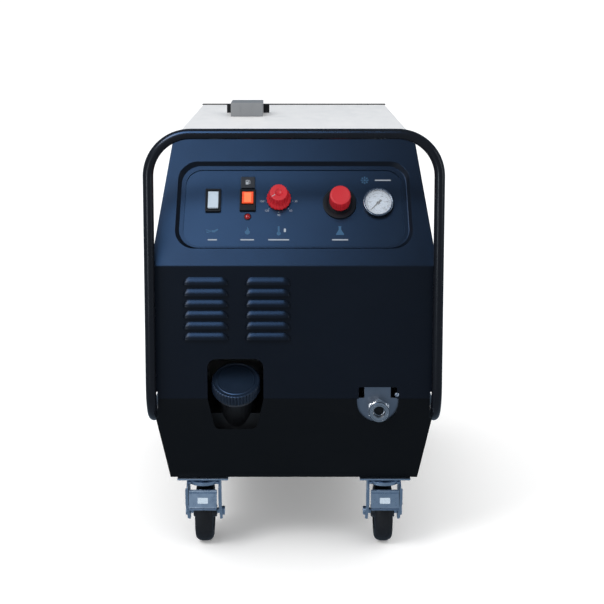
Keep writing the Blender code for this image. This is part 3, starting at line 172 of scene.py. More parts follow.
finish("zinc", (0.52, 0.60, 0.70), 0.30, 1.0, vary=0.10, rough_vary=0.05, grain=900, blotch=30, bump=0.000004)
finish("tyre", (0.0075, 0.0085, 0.0110), 0.58, vary=0.3, specular=0.3, grain=1200, bump=0.00012, blotch=35)
finish("rim", (0.020, 0.024, 0.032), 0.42, vary=0.2, specular=0.4, grain=900, bump=0.00004)
finish("seal", (0.012, 0.012, 0.013), 0.7, vary=0.2, grain=1000, bump=0.00008)
finish("black_plastic", (0.0045, 0.0060, 0.0090), 0.42, vary=0.2, specular=0.35, grain=1700, bump=0.00005)
finish("cap_plastic", (0.0060, 0.0120, 0.0240), 0.36, vary=0.22, rough_vary=0.04, specular=0.36, grain=1500,
       bump=0.00004, blotch=25)
finish("white_plastic", (0.42, 0.50, 0.58), 0.32, vary=0.03, grain=1500, bump=0.00003)
finish("orange_plastic", (0.78, 0.075, 0.018), 0.24, vary=0.08, grain=1500, coat=0.4, bump=0.00002)
finish("orange_light", (0.93, 0.20, 0.07), 0.28, vary=0.06, grain=1500, bump=0.00002)
finish("red_plastic", (0.44, 0.012, 0.020), 0.40, vary=0.12, grain=1500, bump=0.00005, specular=0.4)
finish("red_lens", (0.24, 0.006, 0.008), 0.12, vary=0.1, grain=900, bump=0.00001, coat=0.6)
finish("gauge_steel", (0.24, 0.27, 0.32), 0.25, 1.0, vary=0.08, grain=600, blotch=50, bump=0.00001)
finish("dial_white", (0.40, 0.46, 0.54), 0.45, vary=0.02, grain=1500, bump=0.00001)
finish("clear_lens", (0.90, 0.95, 1.0), 0.05, vary=0.01, rough_vary=0.02, grain=200,
       bump=0.000002, alpha=0.10)
finish("tank_plastic", (0.0065, 0.0075, 0.0095), 0.48, vary=0.25, specular=0.4, grain=900, bump=0.00010)
finish("motor_cast", (0.13, 0.16, 0.20), 0.50, vary=0.15, grain=700, bump=0.00020)
finish("fan_plastic", (0.02, 0.022, 0.026), 0.5, vary=0.2, grain=1200)
finish("grey_paint", (0.20, 0.21, 0.22), 0.45, vary=0.06, grain=1300, bump=0.00006)
finish("brass", (0.70, 0.50, 0.22), 0.32, 1.0, vary=0.12, grain=800, blotch=60)
finish("burner_alloy", (0.55, 0.56, 0.58), 0.42, 1.0, vary=0.1, grain=800)
finish("copper_pipe", (0.70, 0.34, 0.20), 0.30, 1.0, vary=0.15, grain=700, blotch=40)
finish("print_blue", (0.016, 0.080, 0.165), 0.5, vary=0.05, grain=2000, bump=0.00001)
finish("print_white", (0.30, 0.33, 0.37), 0.5, vary=0.03, grain=2000, bump=0.00001)
finish("print_black", (0.012, 0.013, 0.016), 0.5, vary=0.05, grain=2000, bump=0.00001)

CARRIED = {
    "control_film": ["control_plate"],
    "stainless": ["boiler_jacket", "boiler_coil", "flue_duct"],
    "seal": ["fuel_cap_seal"],
    "black_plastic": ["burner_motor"],
    "gauge_steel": ["thermostat_body"],
    "dial_white": ["gauge_dial"],
    "tank_plastic": ["fuel_tank"],
    "motor_cast": ["motor_housing", "pump_crankcase"],
    "fan_plastic": ["motor_rotor"],
    "grey_paint": ["motor_fan_cover", "burner_blower", "bulkhead", "electrical_box"],
    "brass": ["pump_head", "burner_fuel_pump"],
    "burner_alloy": ["burner_fan"],
    "copper_pipe": ["pump_pipe", "outlet_pipe"],
    "plated": ["rear_axle"],
}
for material, names in CARRIED.items():
    for name in names:
        data = frame["nodes"][name].data
        data.materials.clear()
        data.materials.append(MATERIALS[material])


# ---------------------------------------------------------------- mesh tools
def mesh_of(name, vertices, faces):
    mesh = bpy.data.meshes.new(name)
    mesh.from_pydata([tuple(v) for v in vertices], [], faces)
    shape = bmesh.new()
    shape.from_mesh(mesh)
    bmesh.ops.recalc_face_normals(shape, faces=shape.faces)
    shape.to_mesh(mesh)
    shape.free()
    return mesh


def piece(name, mesh, material, body="chassis", at=None, nodes=(), bevel=0.0, steps=2, angle=30.0,
          sharp=35.0):
    """A shown object in world coordinates, on its body."""
    if at is not None:
        mesh.transform(at)
    mesh.shade_smooth()
    mesh.set_sharp_from_angle(angle=math.radians(sharp))
    mesh.materials.clear()
    mesh.materials.append(MATERIALS[material])
    obj = bpy.data.objects.new(name, mesh)
    bpy.context.scene.collection.objects.link(obj)
    if bevel:
        edge = obj.modifiers.new("bevel", "BEVEL")
        edge.width = bevel
        edge.segments = steps
        edge.limit_method = "ANGLE"
        edge.angle_limit = math.radians(angle)
        edge.harden_normals = True
        edge.miter_outer = "MITER_ARC"
    weighted = obj.modifiers.new("weighted", "WEIGHTED_NORMAL")
    weighted.keep_sharp = True
    weighted.weight = 80
    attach(obj, body)
    if nodes:
        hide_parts(*nodes)
    return obj


def body_of(node):
    return frame["nodes"][node]["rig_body"]


def welded(mesh, flat=0.0, outward=False, near=WELD):
    """The mesh with doubled points joined, faces within flat degrees joined up, and normals turned out."""
    shape = bmesh.new()
    shape.from_mesh(mesh)
    bmesh.ops.remove_doubles(shape, verts=shape.verts, dist=near)
    if flat:
        bmesh.ops.dissolve_limit(shape, angle_limit=math.radians(flat), verts=shape.verts, edges=shape.edges)
    if outward:
        bmesh.ops.recalc_face_normals(shape, faces=shape.faces)
    shape.to_mesh(mesh)
    shape.free()
    return mesh


def refine(node, material, width=0.0008, steps=2, angle=30.0):
    """The node's own shape with its flat faces joined up and its edges rounded."""
    mesh = welded(frame["nodes"][node].data.copy(), 0.5, True)
    return piece("look_" + node, mesh, material, body_of(node), nodes=[node], bevel=width,
                 steps=steps, angle=angle)


def lofted(sections, strip_caps=False):
    """A closed skin over loops of equal length. Strip caps suit loops of an outer and an inner line."""
    count = len(sections[0])
    vertices = [v for section in sections for v in section]
    faces = []
    for k in range(len(sections) - 1):
        low, high = k * count, (k + 1) * count
        for i in range(count):
            j = (i + 1) % count
            faces.append((low + i, low + j, high + j, high + i))
    for start in (0, (len(sections) - 1) * count):
        if strip_caps:
            faces += [(start + i, start + i + 1, start + count - 2 - i, start + count - 1 - i)
                      for i in range(count // 2 - 1)]
        else:
            faces.append(tuple(range(start, start + count)))
    return mesh_of("loft", vertices, faces)


def box(low, high):
    loop = [(low[0], low[1]), (high[0], low[1]), (high[0], high[1]), (low[0], high[1])]
    return lofted([[(x, y, z) for x, y in loop] for z in (low[2], high[2])])


def extruded(outline, low, high, axis="y"):
    """A flat outline pushed from low to high along an axis."""
    order = {"x": (2, 0, 1), "y": (0, 2, 1), "z": (0, 1, 2)}[axis]
    return lofted([[[(a, b, c)[k] for k in order] for a, b in outline] for c in (low, high)])


def turned(profile, segments=72, ring=False, flutes=0, flute=0.0, flute_from=0.0, power=1.0):
    """A profile of (radius, height) turned round local Z. Flutes wave the radii from flute_from up."""
    vertices, rows = [], []
    for radius, height in profile:
        if radius == 0:
            rows.append([len(vertices)] * segments)
            vertices.append((0, 0, height))
            continue
        rows.append(range(len(vertices), len(vertices) + segments))
        for i in range(segments):
            turn = math.tau * i / segments
            wave = (0.5 - 0.5 * math.cos(flutes * turn)) ** power
            reach = radius - (flute * wave if flutes and radius >= flute_from else 0)
            vertices.append((reach * math.cos(turn), reach * math.sin(turn), height))
    faces = []
    pairs = list(zip(rows, rows[1:]))
    if ring:
        pairs.append((rows[-1], rows[0]))
    for a, b in pairs:
        for i in range(segments):
            j = (i + 1) % segments
            face = tuple(dict.fromkeys((a[i], a[j], b[j], b[i])))
            if len(face) > 2:
                faces.append(face)
    return mesh_of("turned", vertices, faces)


def fillet(before, corner, after, radius, steps):
    """The points of an arc that rounds a corner."""
    here = Vector(corner)
    back = (Vector(before) - here).normalized()
    ahead = (Vector(after) - here).normalized()
    half = back.angle(ahead) / 2
    centre = here + (back + ahead).normalized() * (radius / math.sin(half))
    first = here + back * (radius / math.tan(half)) - centre
    last = here + ahead * (radius / math.tan(half)) - centre
    sweep = math.pi - 2 * half
    points = []
    for i in range(steps + 1):
        turn = first * math.sin(sweep * (1 - i / steps)) + last * math.sin(sweep * i / steps)
        points.append(centre + turn / math.sin(sweep))
    return points


def rounded(corners, radius, steps=6):
    points = []
    for k, corner in enumerate(corners):
        points += fillet(corners[k - 1], corner, corners[(k + 1) % len(corners)], radius, steps)
    return [tuple(point) for point in points]


def merged(meshes):
    shape = bmesh.new()
    for mesh in meshes:
        shape.from_mesh(mesh)
        bpy.data.meshes.remove(mesh)
    made = bpy.data.meshes.new("merged")
    shape.to_mesh(made)
    shape.free()
    return made


def moved(mesh, x=0.0, y=0.0, z=0.0):
    mesh.transform(Matrix.Translation((x, y, z)))
    return mesh


def carve(mesh, other, operation="DIFFERENCE"):
    """The mesh after one boolean, with both helpers gone."""
    objects = [bpy.data.objects.new("helper", m) for m in (mesh, other)]
    for obj in objects:
        bpy.context.scene.collection.objects.link(obj)
    change = objects[0].modifiers.new("boolean", "BOOLEAN")
    change.object = objects[1]
    change.operation = operation
    change.solver = "EXACT"
    depsgraph = bpy.context.evaluated_depsgraph_get()
    result = bpy.data.meshes.new_from_object(objects[0].evaluated_get(depsgraph))
    for obj in objects:
        bpy.data.objects.remove(obj)
    return result


def mesh_from(curve):
    obj = bpy.data.objects.new("helper", curve)
    bpy.context.scene.collection.objects.link(obj)
    mesh = bpy.data.meshes.new_from_object(obj.evaluated_get(bpy.context.evaluated_depsgraph_get()))
    bpy.data.objects.remove(obj)
    return mesh


def lettering(text, size, depth=0.00012):
    """Thin solid characters, centred on the origin in the XY plane."""
    curve = bpy.data.curves.new("lettering", "FONT")
    curve.body, curve.size, curve.extrude = text, size, depth / 2
    curve.align_x = "CENTER"
    curve.align_y = "CENTER"
    curve.resolution_u = 3
    return moved(mesh_from(curve), z=depth / 2)


ALONG_X = Matrix.Rotation(math.pi / 2, 4, "Y")
ALONG_Y = Matrix.Rotation(-math.pi / 2, 4, "X")


def at(point):
    return Matrix.Translation(point)


def slope_at(x, t, n=0.0):
    return SLOPE @ Matrix.Translation((x, t, n))


# ---------------------------------------------------------------- front panel
RECESS_LOW, RECESS_HIGH = 0.046, 0.213
RECESS_LOW_HALF, RECESS_HIGH_HALF = 0.227, 0.222
RIM = (0.016, 0.008, 0.017)
LEDGE = (0.008, 0.004, 0.008)
DISH_DEPTH, DISH_SHEET = 0.006, 0.002
PANEL_DEPTH = 0.018
FOLD_RADIUS = 0.010
RECESS_CORNER, BEAD_CORNER = 0.034, 0.040
FILLER_HALF, FILLER_LOW_HALF = 0.057, 0.042
FILLER_TOP_Z, FILLER_LOW_Z = 0.421, 0.272
OUTLET_HALF = 0.039


def recess_outline(side=0.0, low=0.0, high=0.0, corner=RECESS_CORNER, steps=10):
    half, top_half = RECESS_LOW_HALF + side, RECESS_HIGH_HALF + side
    foot, head = RECESS_LOW - low, RECESS_HIGH + high
    return rounded([(-half, foot), (half, foot), (top_half, head), (-top_half, head)], corner, steps)


def panel_half(z):
    share = max(0.0, (z - FOLD_Z) / (TOP_Z - FOLD_Z))
    return PANEL_HALF + (PANEL_TOP_HALF - PANEL_HALF) * share


def panel_skin(inset, front, back, low=0.0, high=0.0, past=0.0):
    foot, head = (0.0, PANEL_Z + low), (TOP_DEPTH * (1 + past), TOP_Z - high + past * (TOP_Z - FOLD_Z))
    line = [foot] + [tuple(p) for p in fillet(foot, (0.0, FOLD_Z), head, FOLD_RADIUS, 6)] + [head]
    rows = []
    for depth, z in line:
        half, y = panel_half(z) - inset, FRONT_Y + depth
        rows.append([(-half, y + front, z), (half, y + front, z), (half, y + back, z), (-half, y + back, z)])
    return lofted(rows)


LOUVRE_TOP_Z, LOUVRE_PITCH, LOUVRE_ROWS = 0.583, 0.0227, 6
LOUVRE_HALF, LOUVRE_RISE, LOUVRE_PROUD = 0.0465, 0.0078, 0.0072
LOUVRE_COLUMNS = (-0.178, -0.053)
LOUVRES = [(x, LOUVRE_TOP_Z - row * LOUVRE_PITCH) for x in LOUVRE_COLUMNS for row in range(LOUVRE_ROWS)]


def bar_slots():
    """Corner notches where the roll bar's legs pass through the panel."""
    inner, outer = PANEL_HALF - 0.0118, 0.32
    low, high = BAR_LOW.z + 0.020, PANEL_Z + 0.014
    return merged([box((min(s * inner, s * outer), FRONT_Y - 0.02, low),
                       (max(s * inner, s * outer), FRONT_Y + 0.05, high)) for s in (-1, 1)])


CAP_JOINT = Vector(JOINT["fuel_cap_turn"]["pos_m"])
CAP_AXIS = Vector(JOINT["fuel_cap_turn"]["axis"]).normalized()
CAP_X = CAP_JOINT.x
SEAM_Z = PANEL_Z - GAP


def notch(outline_radii, low, high):
    outline = []
    corners = [corner for corner, _ in outline_radii]
    for k, (corner, radius) in enumerate(outline_radii):
        after = corners[(k + 1) % len(corners)]
        outline += fillet(corners[k - 1], corner, after, radius, 8) if radius else [Vector(corner)]
    return extruded([tuple(p) for p in outline], low, high)


def filler_notch():
    left, right = CAP_X - FILLER_HALF, CAP_X + FILLER_HALF
    low_left, low_right = CAP_X - FILLER_LOW_HALF, CAP_X + FILLER_LOW_HALF
    shape = [((left, SEAM_Z), 0), ((left, FILLER_TOP_Z), 0.018), ((right, FILLER_TOP_Z), 0.018),
             ((right, SEAM_Z), 0), ((low_right, FILLER_LOW_Z), 0.012), ((low_left, FILLER_LOW_Z), 0.012)]
    return notch(shape, FRONT_Y - 0.02, FRONT_Y + 0.036)


def outlet_notch():
    x = middle("outlet_plate").x
    left, right, low, top = x - OUTLET_HALF, x + OUTLET_HALF, SEAM_Z - 0.01, SEAM_Z + 0.024
    shape = [((left, low), 0), ((left, top), 0.003), ((right, top), 0.003), ((right, low), 0)]
    return notch(shape, FRONT_Y - 0.02, FRONT_Y + 0.03)


def front_panel():
    skin = panel_skin(0.0, 0.0, PANEL_DEPTH)
    skin = carve(skin, panel_skin(SHEET, SHEET, PANEL_DEPTH + 0.02, SHEET, SHEET))
    dish = extruded(recess_outline(*[r + DISH_SHEET for r in RIM], BEAD_CORNER), -DISH_DEPTH - DISH_SHEET,
                    -SHEET / 2, "z")
    dish.transform(SLOPE)
    skin = carve(skin, dish, "UNION")
    wall = ((0.0, -DISH_DEPTH), (0.25, -0.0052), (0.55, -0.0030), (0.85, -0.0008), (1.0, 0.0), (1.0, 0.012))
    rings = []
    for share, n in wall:
        reach = [l + (r - l) * share for l, r in zip(LEDGE, RIM)]
        rings.append([(x, t, n) for x, t in recess_outline(*reach, BEAD_CORNER)])
    hollow = lofted(rings)
    hollow.transform(SLOPE)
    skin = carve(skin, hollow)
    opening = extruded(recess_outline(), -0.02, 0.02, "z")
    opening.transform(SLOPE)
    skin = carve(skin, opening)
    slots = [box((x - LOUVRE_HALF + 0.007, FRONT_Y - 0.01, z - LOUVRE_RISE + 0.0006),
                 (x + LOUVRE_HALF - 0.007, FRONT_Y + 0.01, z + 0.0015)) for x, z in LOUVRES]
    for cutter in (merged(slots), bar_slots(), filler_notch(), outlet_notch()):
        skin = carve(skin, cutter)
    return piece("look_front_panel", welded(skin, 0.2), "panel_paint", nodes=["front_panel"],
                 bevel=0.0007, steps=2, angle=25.0)


def louvre(x, z):
    """A pressed half dome, open along its lower edge, with rounded ends."""
    across, down, skin = 28, 8, 0.0011
    end = 2 * LOUVRE_RISE
    outer, inner = [], []
    for i in range(across + 1):
        u = -1 + 2 * i / across
        u = math.copysign(abs(u) ** 0.75, u)
        s = max(0.0, (abs(u) * LOUVRE_HALF - (LOUVRE_HALF - end)) / end)
        swell = math.sqrt(max(0.0, 1 - s * s))
        for v in range(down + 1):
            share = v / down
            height = -LOUVRE_RISE + 2 * LOUVRE_RISE * swell * (1 - share)
            out = LOUVRE_PROUD * math.sqrt(swell) * math.sin(share * math.pi / 2) ** 0.9
            outer.append(Vector((x + u * LOUVRE_HALF, FRONT_Y - out + 0.0002, z + height)))
            back = Vector((0, skin, -skin * 0.5 * (1 - share)))
            inner.append(outer[-1] + back)
    columns, rows = across + 1, down + 1
    count = len(outer)
    faces = []
    for i in range(across):
        for v in range(down):
            a, b, c, d = i * rows + v, (i + 1) * rows + v, (i + 1) * rows + v + 1, i * rows + v + 1
            faces += [(a, b, c, d), (count + d, count + c, count + b, count + a)]
        top, low = i * rows, i * rows + down
        faces.append((top, count + top, count + top + rows, top + rows))
        faces.append((low, low + rows, count + low + rows, count + low))
    last = (columns - 1) * rows
    for v in range(down):
        faces.append((v, v + 1, count + v + 1, count + v))
        faces.append((last + v, count + last + v, count + last + v + 1, last + v + 1))
    return mesh_of("louvre", outer + inner, faces)


front_panel()
piece("front_louvres", merged([louvre(x, z) for x, z in LOUVRES]), "panel_paint",
      sharp=50)


# ---------------------------------------------------------------- tray, hood, bar, rear
refine("chassis_tray", "tray_paint", 0.0008)
refine("rear_panel", "dark_paint", 0.0006)


def hood():
    back = HOOD_LOW.y - FRONT_Y
    half, top_half = HOOD_HIGH.x, PANEL_TOP_HALF - 0.0035
    rear = HOOD_HIGH.y

    def loop(inset, y_of):
        corners = [(-half + inset, PANEL_Z), (-half + inset, FOLD_Z), (-top_half + inset, TOP_Z - inset),
                   (top_half - inset, TOP_Z - inset), (half - inset, FOLD_Z), (half - inset, PANEL_Z)]
        line = [Vector(corners[0])]
        for k, radius in ((1, 0.03 - inset), (2, 0.007 - inset), (3, 0.007 - inset), (4, 0.03 - inset)):
            line += fillet(corners[k - 1], corners[k], corners[k + 1], radius, 6)
        line.append(Vector(corners[5]))
        return [(x, y_of(z), z) for x, z in line]

    def front(z):
        return FRONT_Y + back + max(0.0, z - FOLD_Z) * TOP_DEPTH / (TOP_Z - FOLD_Z)

    sections = [loop(0.0, y) + loop(SHEET, y)[::-1] for y in (front, lambda z: rear)]
    mesh = lofted(sections, strip_caps=True)
    duct = middle("flue_cowl")
    hole = turned([(0, -0.03), (0.0315, -0.03), (0.0315, 0.03), (0, 0.03)], 48)
    mesh = carve(mesh, moved(hole, duct.x, duct.y, TOP_Z))
    return piece("look_hood", mesh, "white_paint", nodes=["hood"], bevel=0.0006,
                 angle=40.0)


hood()


def roll_bar():
    radius = BAR_HIGH.z - (TOP_Z + 0.0161)
    half = BAR_HIGH.x - radius
    plane, end, low, top = BAR_LOW.y + radius, BAR_HIGH.y, BAR_LOW.z + radius, BAR_HIGH.z - radius
    corners = [(-half, end, low), (-half, plane, low), (-half, plane, top), (half, plane, top),
               (half, plane, low), (half, end, low)]
    points = [Vector(corners[0])]
    for before, corner, after, bend in zip(corners, corners[1:], corners[2:], (0.080, 0.085, 0.085, 0.080)):
        points += fillet(before, corner, after, bend, 20)
    points.append(Vector(corners[-1]))
    curve = bpy.data.curves.new("bar", "CURVE")
    curve.dimensions = "3D"
    curve.bevel_depth = radius
    curve.bevel_resolution = 8
    curve.use_fill_caps = True
    spline = curve.splines.new("POLY")
    spline.points.add(len(points) - 1)
    for point, where in zip(spline.points, points):
        point.co = (*where, 1)
    return piece("look_roll_bar", welded(mesh_from(curve), near=WELD / 2), "bar_paint", nodes=["roll_bar"])


roll_bar()


def screw(radius=0.0045, height=0.0026, drive=0.0022):
    """A pan head with a round socket, its seat at local zero."""
    head = [(0, -0.0010), (radius, -0.0010), (radius, height * 0.35), (radius * 0.93, height * 0.72),
            (radius * 0.72, height), (drive * 1.25, height), (drive, height - 0.0003),
            (drive, height - 0.0014), (0, height - 0.0016)]
    return turned(head, 36)


def screws(name, places, axis, material="plated", slot="zinc", **sizes):
    made = []
    for point in places:
        mesh = screw(**sizes)
        mesh.transform(at(point) @ axis)
        made.append(mesh)
    return piece(name, merged(made), material)


for side, sign in (("left", -1), ("right", 1)):
    refine(f"bar_bracket_{side}", "gauge_steel", 0.001)
    low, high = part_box(f"bar_bracket_{side}")
    face = (low.x + high.x) / 2
    top = [(face - sign * 0.006, (low.y + high.y) / 2, high.z)]
    screws(f"bracket_bolt_{side}", top, Matrix.Identity(4), radius=0.0040, height=0.0032)
    hood_side = [(sign * HOOD_HIGH.x, FRONT_Y + depth, PANEL_Z + rise) for depth, rise in
                 ((0.10, 0.018), (0.50, 0.018), (0.90, 0.018), (0.965, 0.14), (0.965, 0.25))]
    screws(f"hood_screws_{side}", hood_side, Matrix.Rotation(sign * math.pi / 2, 4, "Y"))
screws("panel_screw", [(0.210, FRONT_Y, SEAM_Z + 0.0085)], Matrix.Rotation(math.pi / 2, 4, "X"),
       radius=0.0048)
rear_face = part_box("rear_panel")[1].y
rear_heights = (PANEL_Z + 0.03, PANEL_Z + 0.25, TOP_Z - 0.04)
screws("rear_screws", [(s * 0.225, rear_face, z) for s in (-1, 1) for z in rear_heights],
       Matrix.Rotation(-math.pi / 2, 4, "X"))

# ---------------------------------------------------------------- flue
refine("flue_cowl", "grey_paint", 0.0010)
refine("flue_deflector", "dark_paint", 0.0008)
low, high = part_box("flue_cowl")
seams = [box((x, low.y - 0.0006, low.z + 0.004), (x + 0.0012, low.y + 0.001, high.z - 0.002))
         for x in (low.x + 0.022, low.x + 0.050)]
piece("cowl_seams", merged(seams), "grey_paint")
# A thin black strip along the hood's rear edge, standing just above its top.
edge = [(-PANEL_TOP_HALF + 0.004, TOP_Z - 0.0002), (PANEL_TOP_HALF - 0.004, TOP_Z - 0.0002),
        (PANEL_TOP_HALF - 0.004, TOP_Z + 0.0022), (-PANEL_TOP_HALF + 0.004, TOP_Z + 0.0022)]
piece("hood_rear_dark_strip", extruded(edge, HOOD_HIGH.y - 0.016, HOOD_HIGH.y), "seal",
      bevel=0.0006)


# ---------------------------------------------------------------- controls
PRINT_SUNK, PRINT_PROUD = 0.00005, 0.00016


def thin(outline, x, t):
    """A printed sign on the control plate."""
    return moved(extruded(outline, -PRINT_SUNK, PRINT_PROUD, "z"), x, t, PLATE_TOP)


def bar_shape(half, high):
    return rounded([(-half, -high), (half, -high), (half, high), (-half, high)], min(half, high) * 0.8, 3)


def disc(radius, count=20, stretch=1.0):
    return [(radius * math.cos(math.tau * i / count), stretch * radius * math.sin(math.tau * i / count))
            for i in range(count)]


def spray():
    jets = [[(-0.014, 0.003), (-0.003, 0.0005), (-0.003, -0.0008), (-0.014, 0.0012)],
            [(-0.013, -0.002), (-0.003, -0.0012), (-0.003, -0.0024), (-0.012, -0.0045)]]
    nozzle = [(-0.002, -0.003), (0.004, -0.0035), (0.012, 0.002), (0.010, 0.0045), (0.003, 0.001),
              (-0.002, 0.0015)]
    return jets + [nozzle]


def flame():
    outer = [(-0.0055, -0.002), (-0.004, -0.0065), (0, -0.0085), (0.004, -0.0065), (0.0055, -0.002),
             (0.003, 0.001), (0.0022, 0.005), (-0.0008, 0.0092), (-0.0005, 0.004), (-0.0030, 0.0005)]
    return [outer]


def thermometer():
    stem = [(-0.0019, -0.003), (0.0019, -0.003), (0.0019, 0.009), (0.0010, 0.0102), (-0.0010, 0.0102),
            (-0.0019, 0.009)]
    return [stem, [(x, t - 0.006) for x, t in disc(0.0042)]]


def flask():
    body = [(-0.0075, -0.009), (0.0075, -0.009), (0.0082, -0.0072), (0.0026, 0.0022), (0.0026, 0.0085),
            (0.0034, 0.0100), (-0.0034, 0.0100), (-0.0026, 0.0085), (-0.0026, 0.0022), (-0.0082, -0.0072)]
    return [body]


def burst():
    made = [disc(0.0022)]
    for k in range(8):
        turn = math.tau * k / 8
        c, s = math.cos(turn), math.sin(turn)
        ray = [(0.0038, -0.0009), (0.0080, -0.0014), (0.0080, 0.0014), (0.0038, 0.0009)]
        made.append([(x * c - t * s, x * s + t * c) for x, t in ray])
    return made


PUMP = slope_middle("pump_switch_housing")
BURNER = slope_middle("burner_switch_housing")
LAMP = slope_middle("fuel_lamp")
LED = slope_middle("burner_led")
KNOB = slope_middle("thermostat_knob")
CHEMICAL = slope_middle("chemical_knob")
GAUGE = slope_middle("gauge_case")
ON_KNOB, ON_CHEMICAL = slope_at(KNOB.x, KNOB.y, ON_PLATE), slope_at(CHEMICAL.x, CHEMICAL.y, ON_PLATE)
ON_LED = slope_at(LED.x, LED.y, ON_PLATE)
ICON_T, LABEL_T, GAUGE_LABEL_T = 0.0795, 0.0600, 0.191   # rows of signs, along the slope
NUMBER_REACH, TICK_REACH = 0.0355, 0.0290                # round the thermostat's knob

prints = []
for outlines, x, t in ((spray(), PUMP.x, ICON_T), (flame(), BURNER.x, ICON_T),
                       (thermometer(), KNOB.x, ICON_T), (flask(), CHEMICAL.x, ICON_T),
                       (burst(), 0.1465, GAUGE_LABEL_T)):
    prints += [thin(outline, x, t) for outline in outlines]
piece("control_icons", merged(prints), "print_blue", at=SLOPE)
labels = [thin(bar_shape(half, 0.0013), x, t) for x, t, half in
          ((PUMP.x, LABEL_T, 0.0095), (BURNER.x, LABEL_T, 0.0140), (KNOB.x, LABEL_T, 0.0215),
           (CHEMICAL.x, LABEL_T, 0.0165), (0.184, GAUGE_LABEL_T, 0.0165))]
labels.append(thin(bar_shape(0.0022, 0.0040), KNOB.x + 0.0125, ICON_T + 0.001))
for number, turn in zip(("150", "120", "90", "60", "30"), (188, 226, 270, 314, 352)):
    angle = math.radians(turn)
    c, s = math.cos(angle), math.sin(angle)
    labels.append(moved(lettering(number, 0.0062), KNOB.x + NUMBER_REACH * c, KNOB.y + NUMBER_REACH * s,
                        PLATE_TOP))
    tick = thin([(-0.0004, -0.0010), (0.0004, -0.0010), (0.0004, 0.0010), (-0.0004, 0.0010)], 0, 0)
    labels.append(moved(tick, KNOB.x + TICK_REACH * c, KNOB.y + TICK_REACH * s))
piece("control_labels", merged(labels), "print_white", at=SLOPE)

for node in ("pump_switch_housing", "burner_switch_housing"):
    refine(node, "black_plastic", 0.0011, 3)


def rocker(node, material, insert=None):
    """A dished key, tipped as it stands at rest, with a raised panel or a bar on it."""
    low, high = on_slope(node)
    pin = INTO_SLOPE @ Vector(JOINT[node.replace("_rocker", "")]["pos_m"])
    half = (high.x - low.x) / 2
    reach = (high.y - low.y) / 2
    steps, top = 12, []
    tilt = math.radians(-8)
    c, s = math.cos(tilt), math.sin(tilt)
    for k in range(steps + 1):
        t = -reach + 2 * reach * k / steps
        n = 0.0018 + 0.0026 * abs(t / reach) ** 1.6
        top.append((t, n))
    outline = top + [(reach, -0.0012), (0, -0.006), (-reach, -0.0012)]
    spun = [(t * c - n * s, t * s + n * c) for t, n in outline]
    key = extruded([(t * 0.985, n) for t, n in spun], -half, half, "x")
    piece("look_" + node, key, material, body_of(node), at=slope_at(*pin), nodes=[node],
          bevel=0.0006)
    if insert:
        square = [(t, n + 0.00035) for t, n in spun[1:steps]]
        lower = [(t, n - 0.0008) for t, n in spun[1:steps]][::-1]
        piece(node + "_insert", extruded(square + lower, -half * 0.62, half * 0.62, "x"), insert,
              body_of(node), at=slope_at(*pin), bevel=0.0003)


rocker("pump_switch_rocker", "white_plastic")
rocker("burner_switch_rocker", "orange_plastic", "orange_light")

refine("fuel_lamp", "rim", 0.0012, 3)
ON_LAMP = slope_at(LAMP.x, LAMP.y, on_slope("fuel_lamp")[1].z)
body = rounded([(-0.0045, -0.0050), (0.0015, -0.0050), (0.0015, 0.0050), (-0.0045, 0.0050)], 0.0008, 3)
hose = [(0.0024, -0.0036), (0.0046, -0.0036), (0.0046, 0.0030), (0.0030, 0.0048), (0.0022, 0.0042),
        (0.0036, 0.0024), (0.0036, -0.0026), (0.0024, -0.0026)]
symbol = [extruded(shape, -0.0001, 0.00015, "z") for shape in (body, hose)]
piece("lamp_symbol", merged(symbol), "print_white", at=ON_LAMP)
window = rounded([(-0.0032, 0.0010), (0.0002, 0.0010), (0.0002, 0.0036), (-0.0032, 0.0036)], 0.0003, 2)
piece("lamp_symbol_window", extruded(window, 0.0, 0.00025, "z"), "rim", at=ON_LAMP)
led = [(0, 0.0), (0.0060, 0.0), (0.0060, 0.0010), (0.0056, 0.0024), (0.0045, 0.0038), (0.0027, 0.0048),
       (0, 0.0052)]
piece("look_burner_led", turned(led, 40), "red_lens", at=ON_LED, nodes=["burner_led"])
collar = [(0.0061, 0.0), (0.0074, 0.0), (0.0076, 0.0004), (0.0071, 0.0012), (0.0061, 0.0014)]
piece("led_collar", turned(collar, 40, ring=True), "black_plastic", at=ON_LED)

base, top, height = 0.0255, 0.0195, 0.038
skirt = [(0, 0.004), (0.016, 0.004), (0.016, 0.0005), (base - 0.0006, 0.0005), (base, 0.0012), (base, 0.0060),
         (base - 0.0006, 0.0074), (base - 0.0030, 0.0110), (base - 0.0055, 0.0150), (top + 0.0012, 0.0186)]
grip = [(top, 0.0204), (top - 0.0003, height - 0.0040), (top - 0.0009, height - 0.0018),
        (top - 0.0024, height - 0.0003), (top - 0.0040, height), (0.0098, height - 0.0004),
        (0.0086, height + 0.0002), (0.0076, height - 0.0002), (0.0066, height - 0.0018),
        (0.0050, height - 0.0030), (0, height - 0.0033)]
fluted = turned(skirt + grip, 160, flutes=20, flute=0.0013, flute_from=top - 0.00095, power=0.7)
piece("look_thermostat_knob", fluted, "red_plastic", "thermostat_knob", at=ON_KNOB, nodes=["thermostat_knob"],
      sharp=40)
pointer = extruded([(-0.0006, top - 0.011), (0.0006, top - 0.011), (0.0006, top - 0.003),
                    (-0.0006, top - 0.003)], height - 0.0002, height + 0.0002, "z")
piece("thermostat_pointer", pointer, "print_white", "thermostat_knob",
      at=ON_KNOB @ Matrix.Rotation(math.radians(123), 4, "Z"))

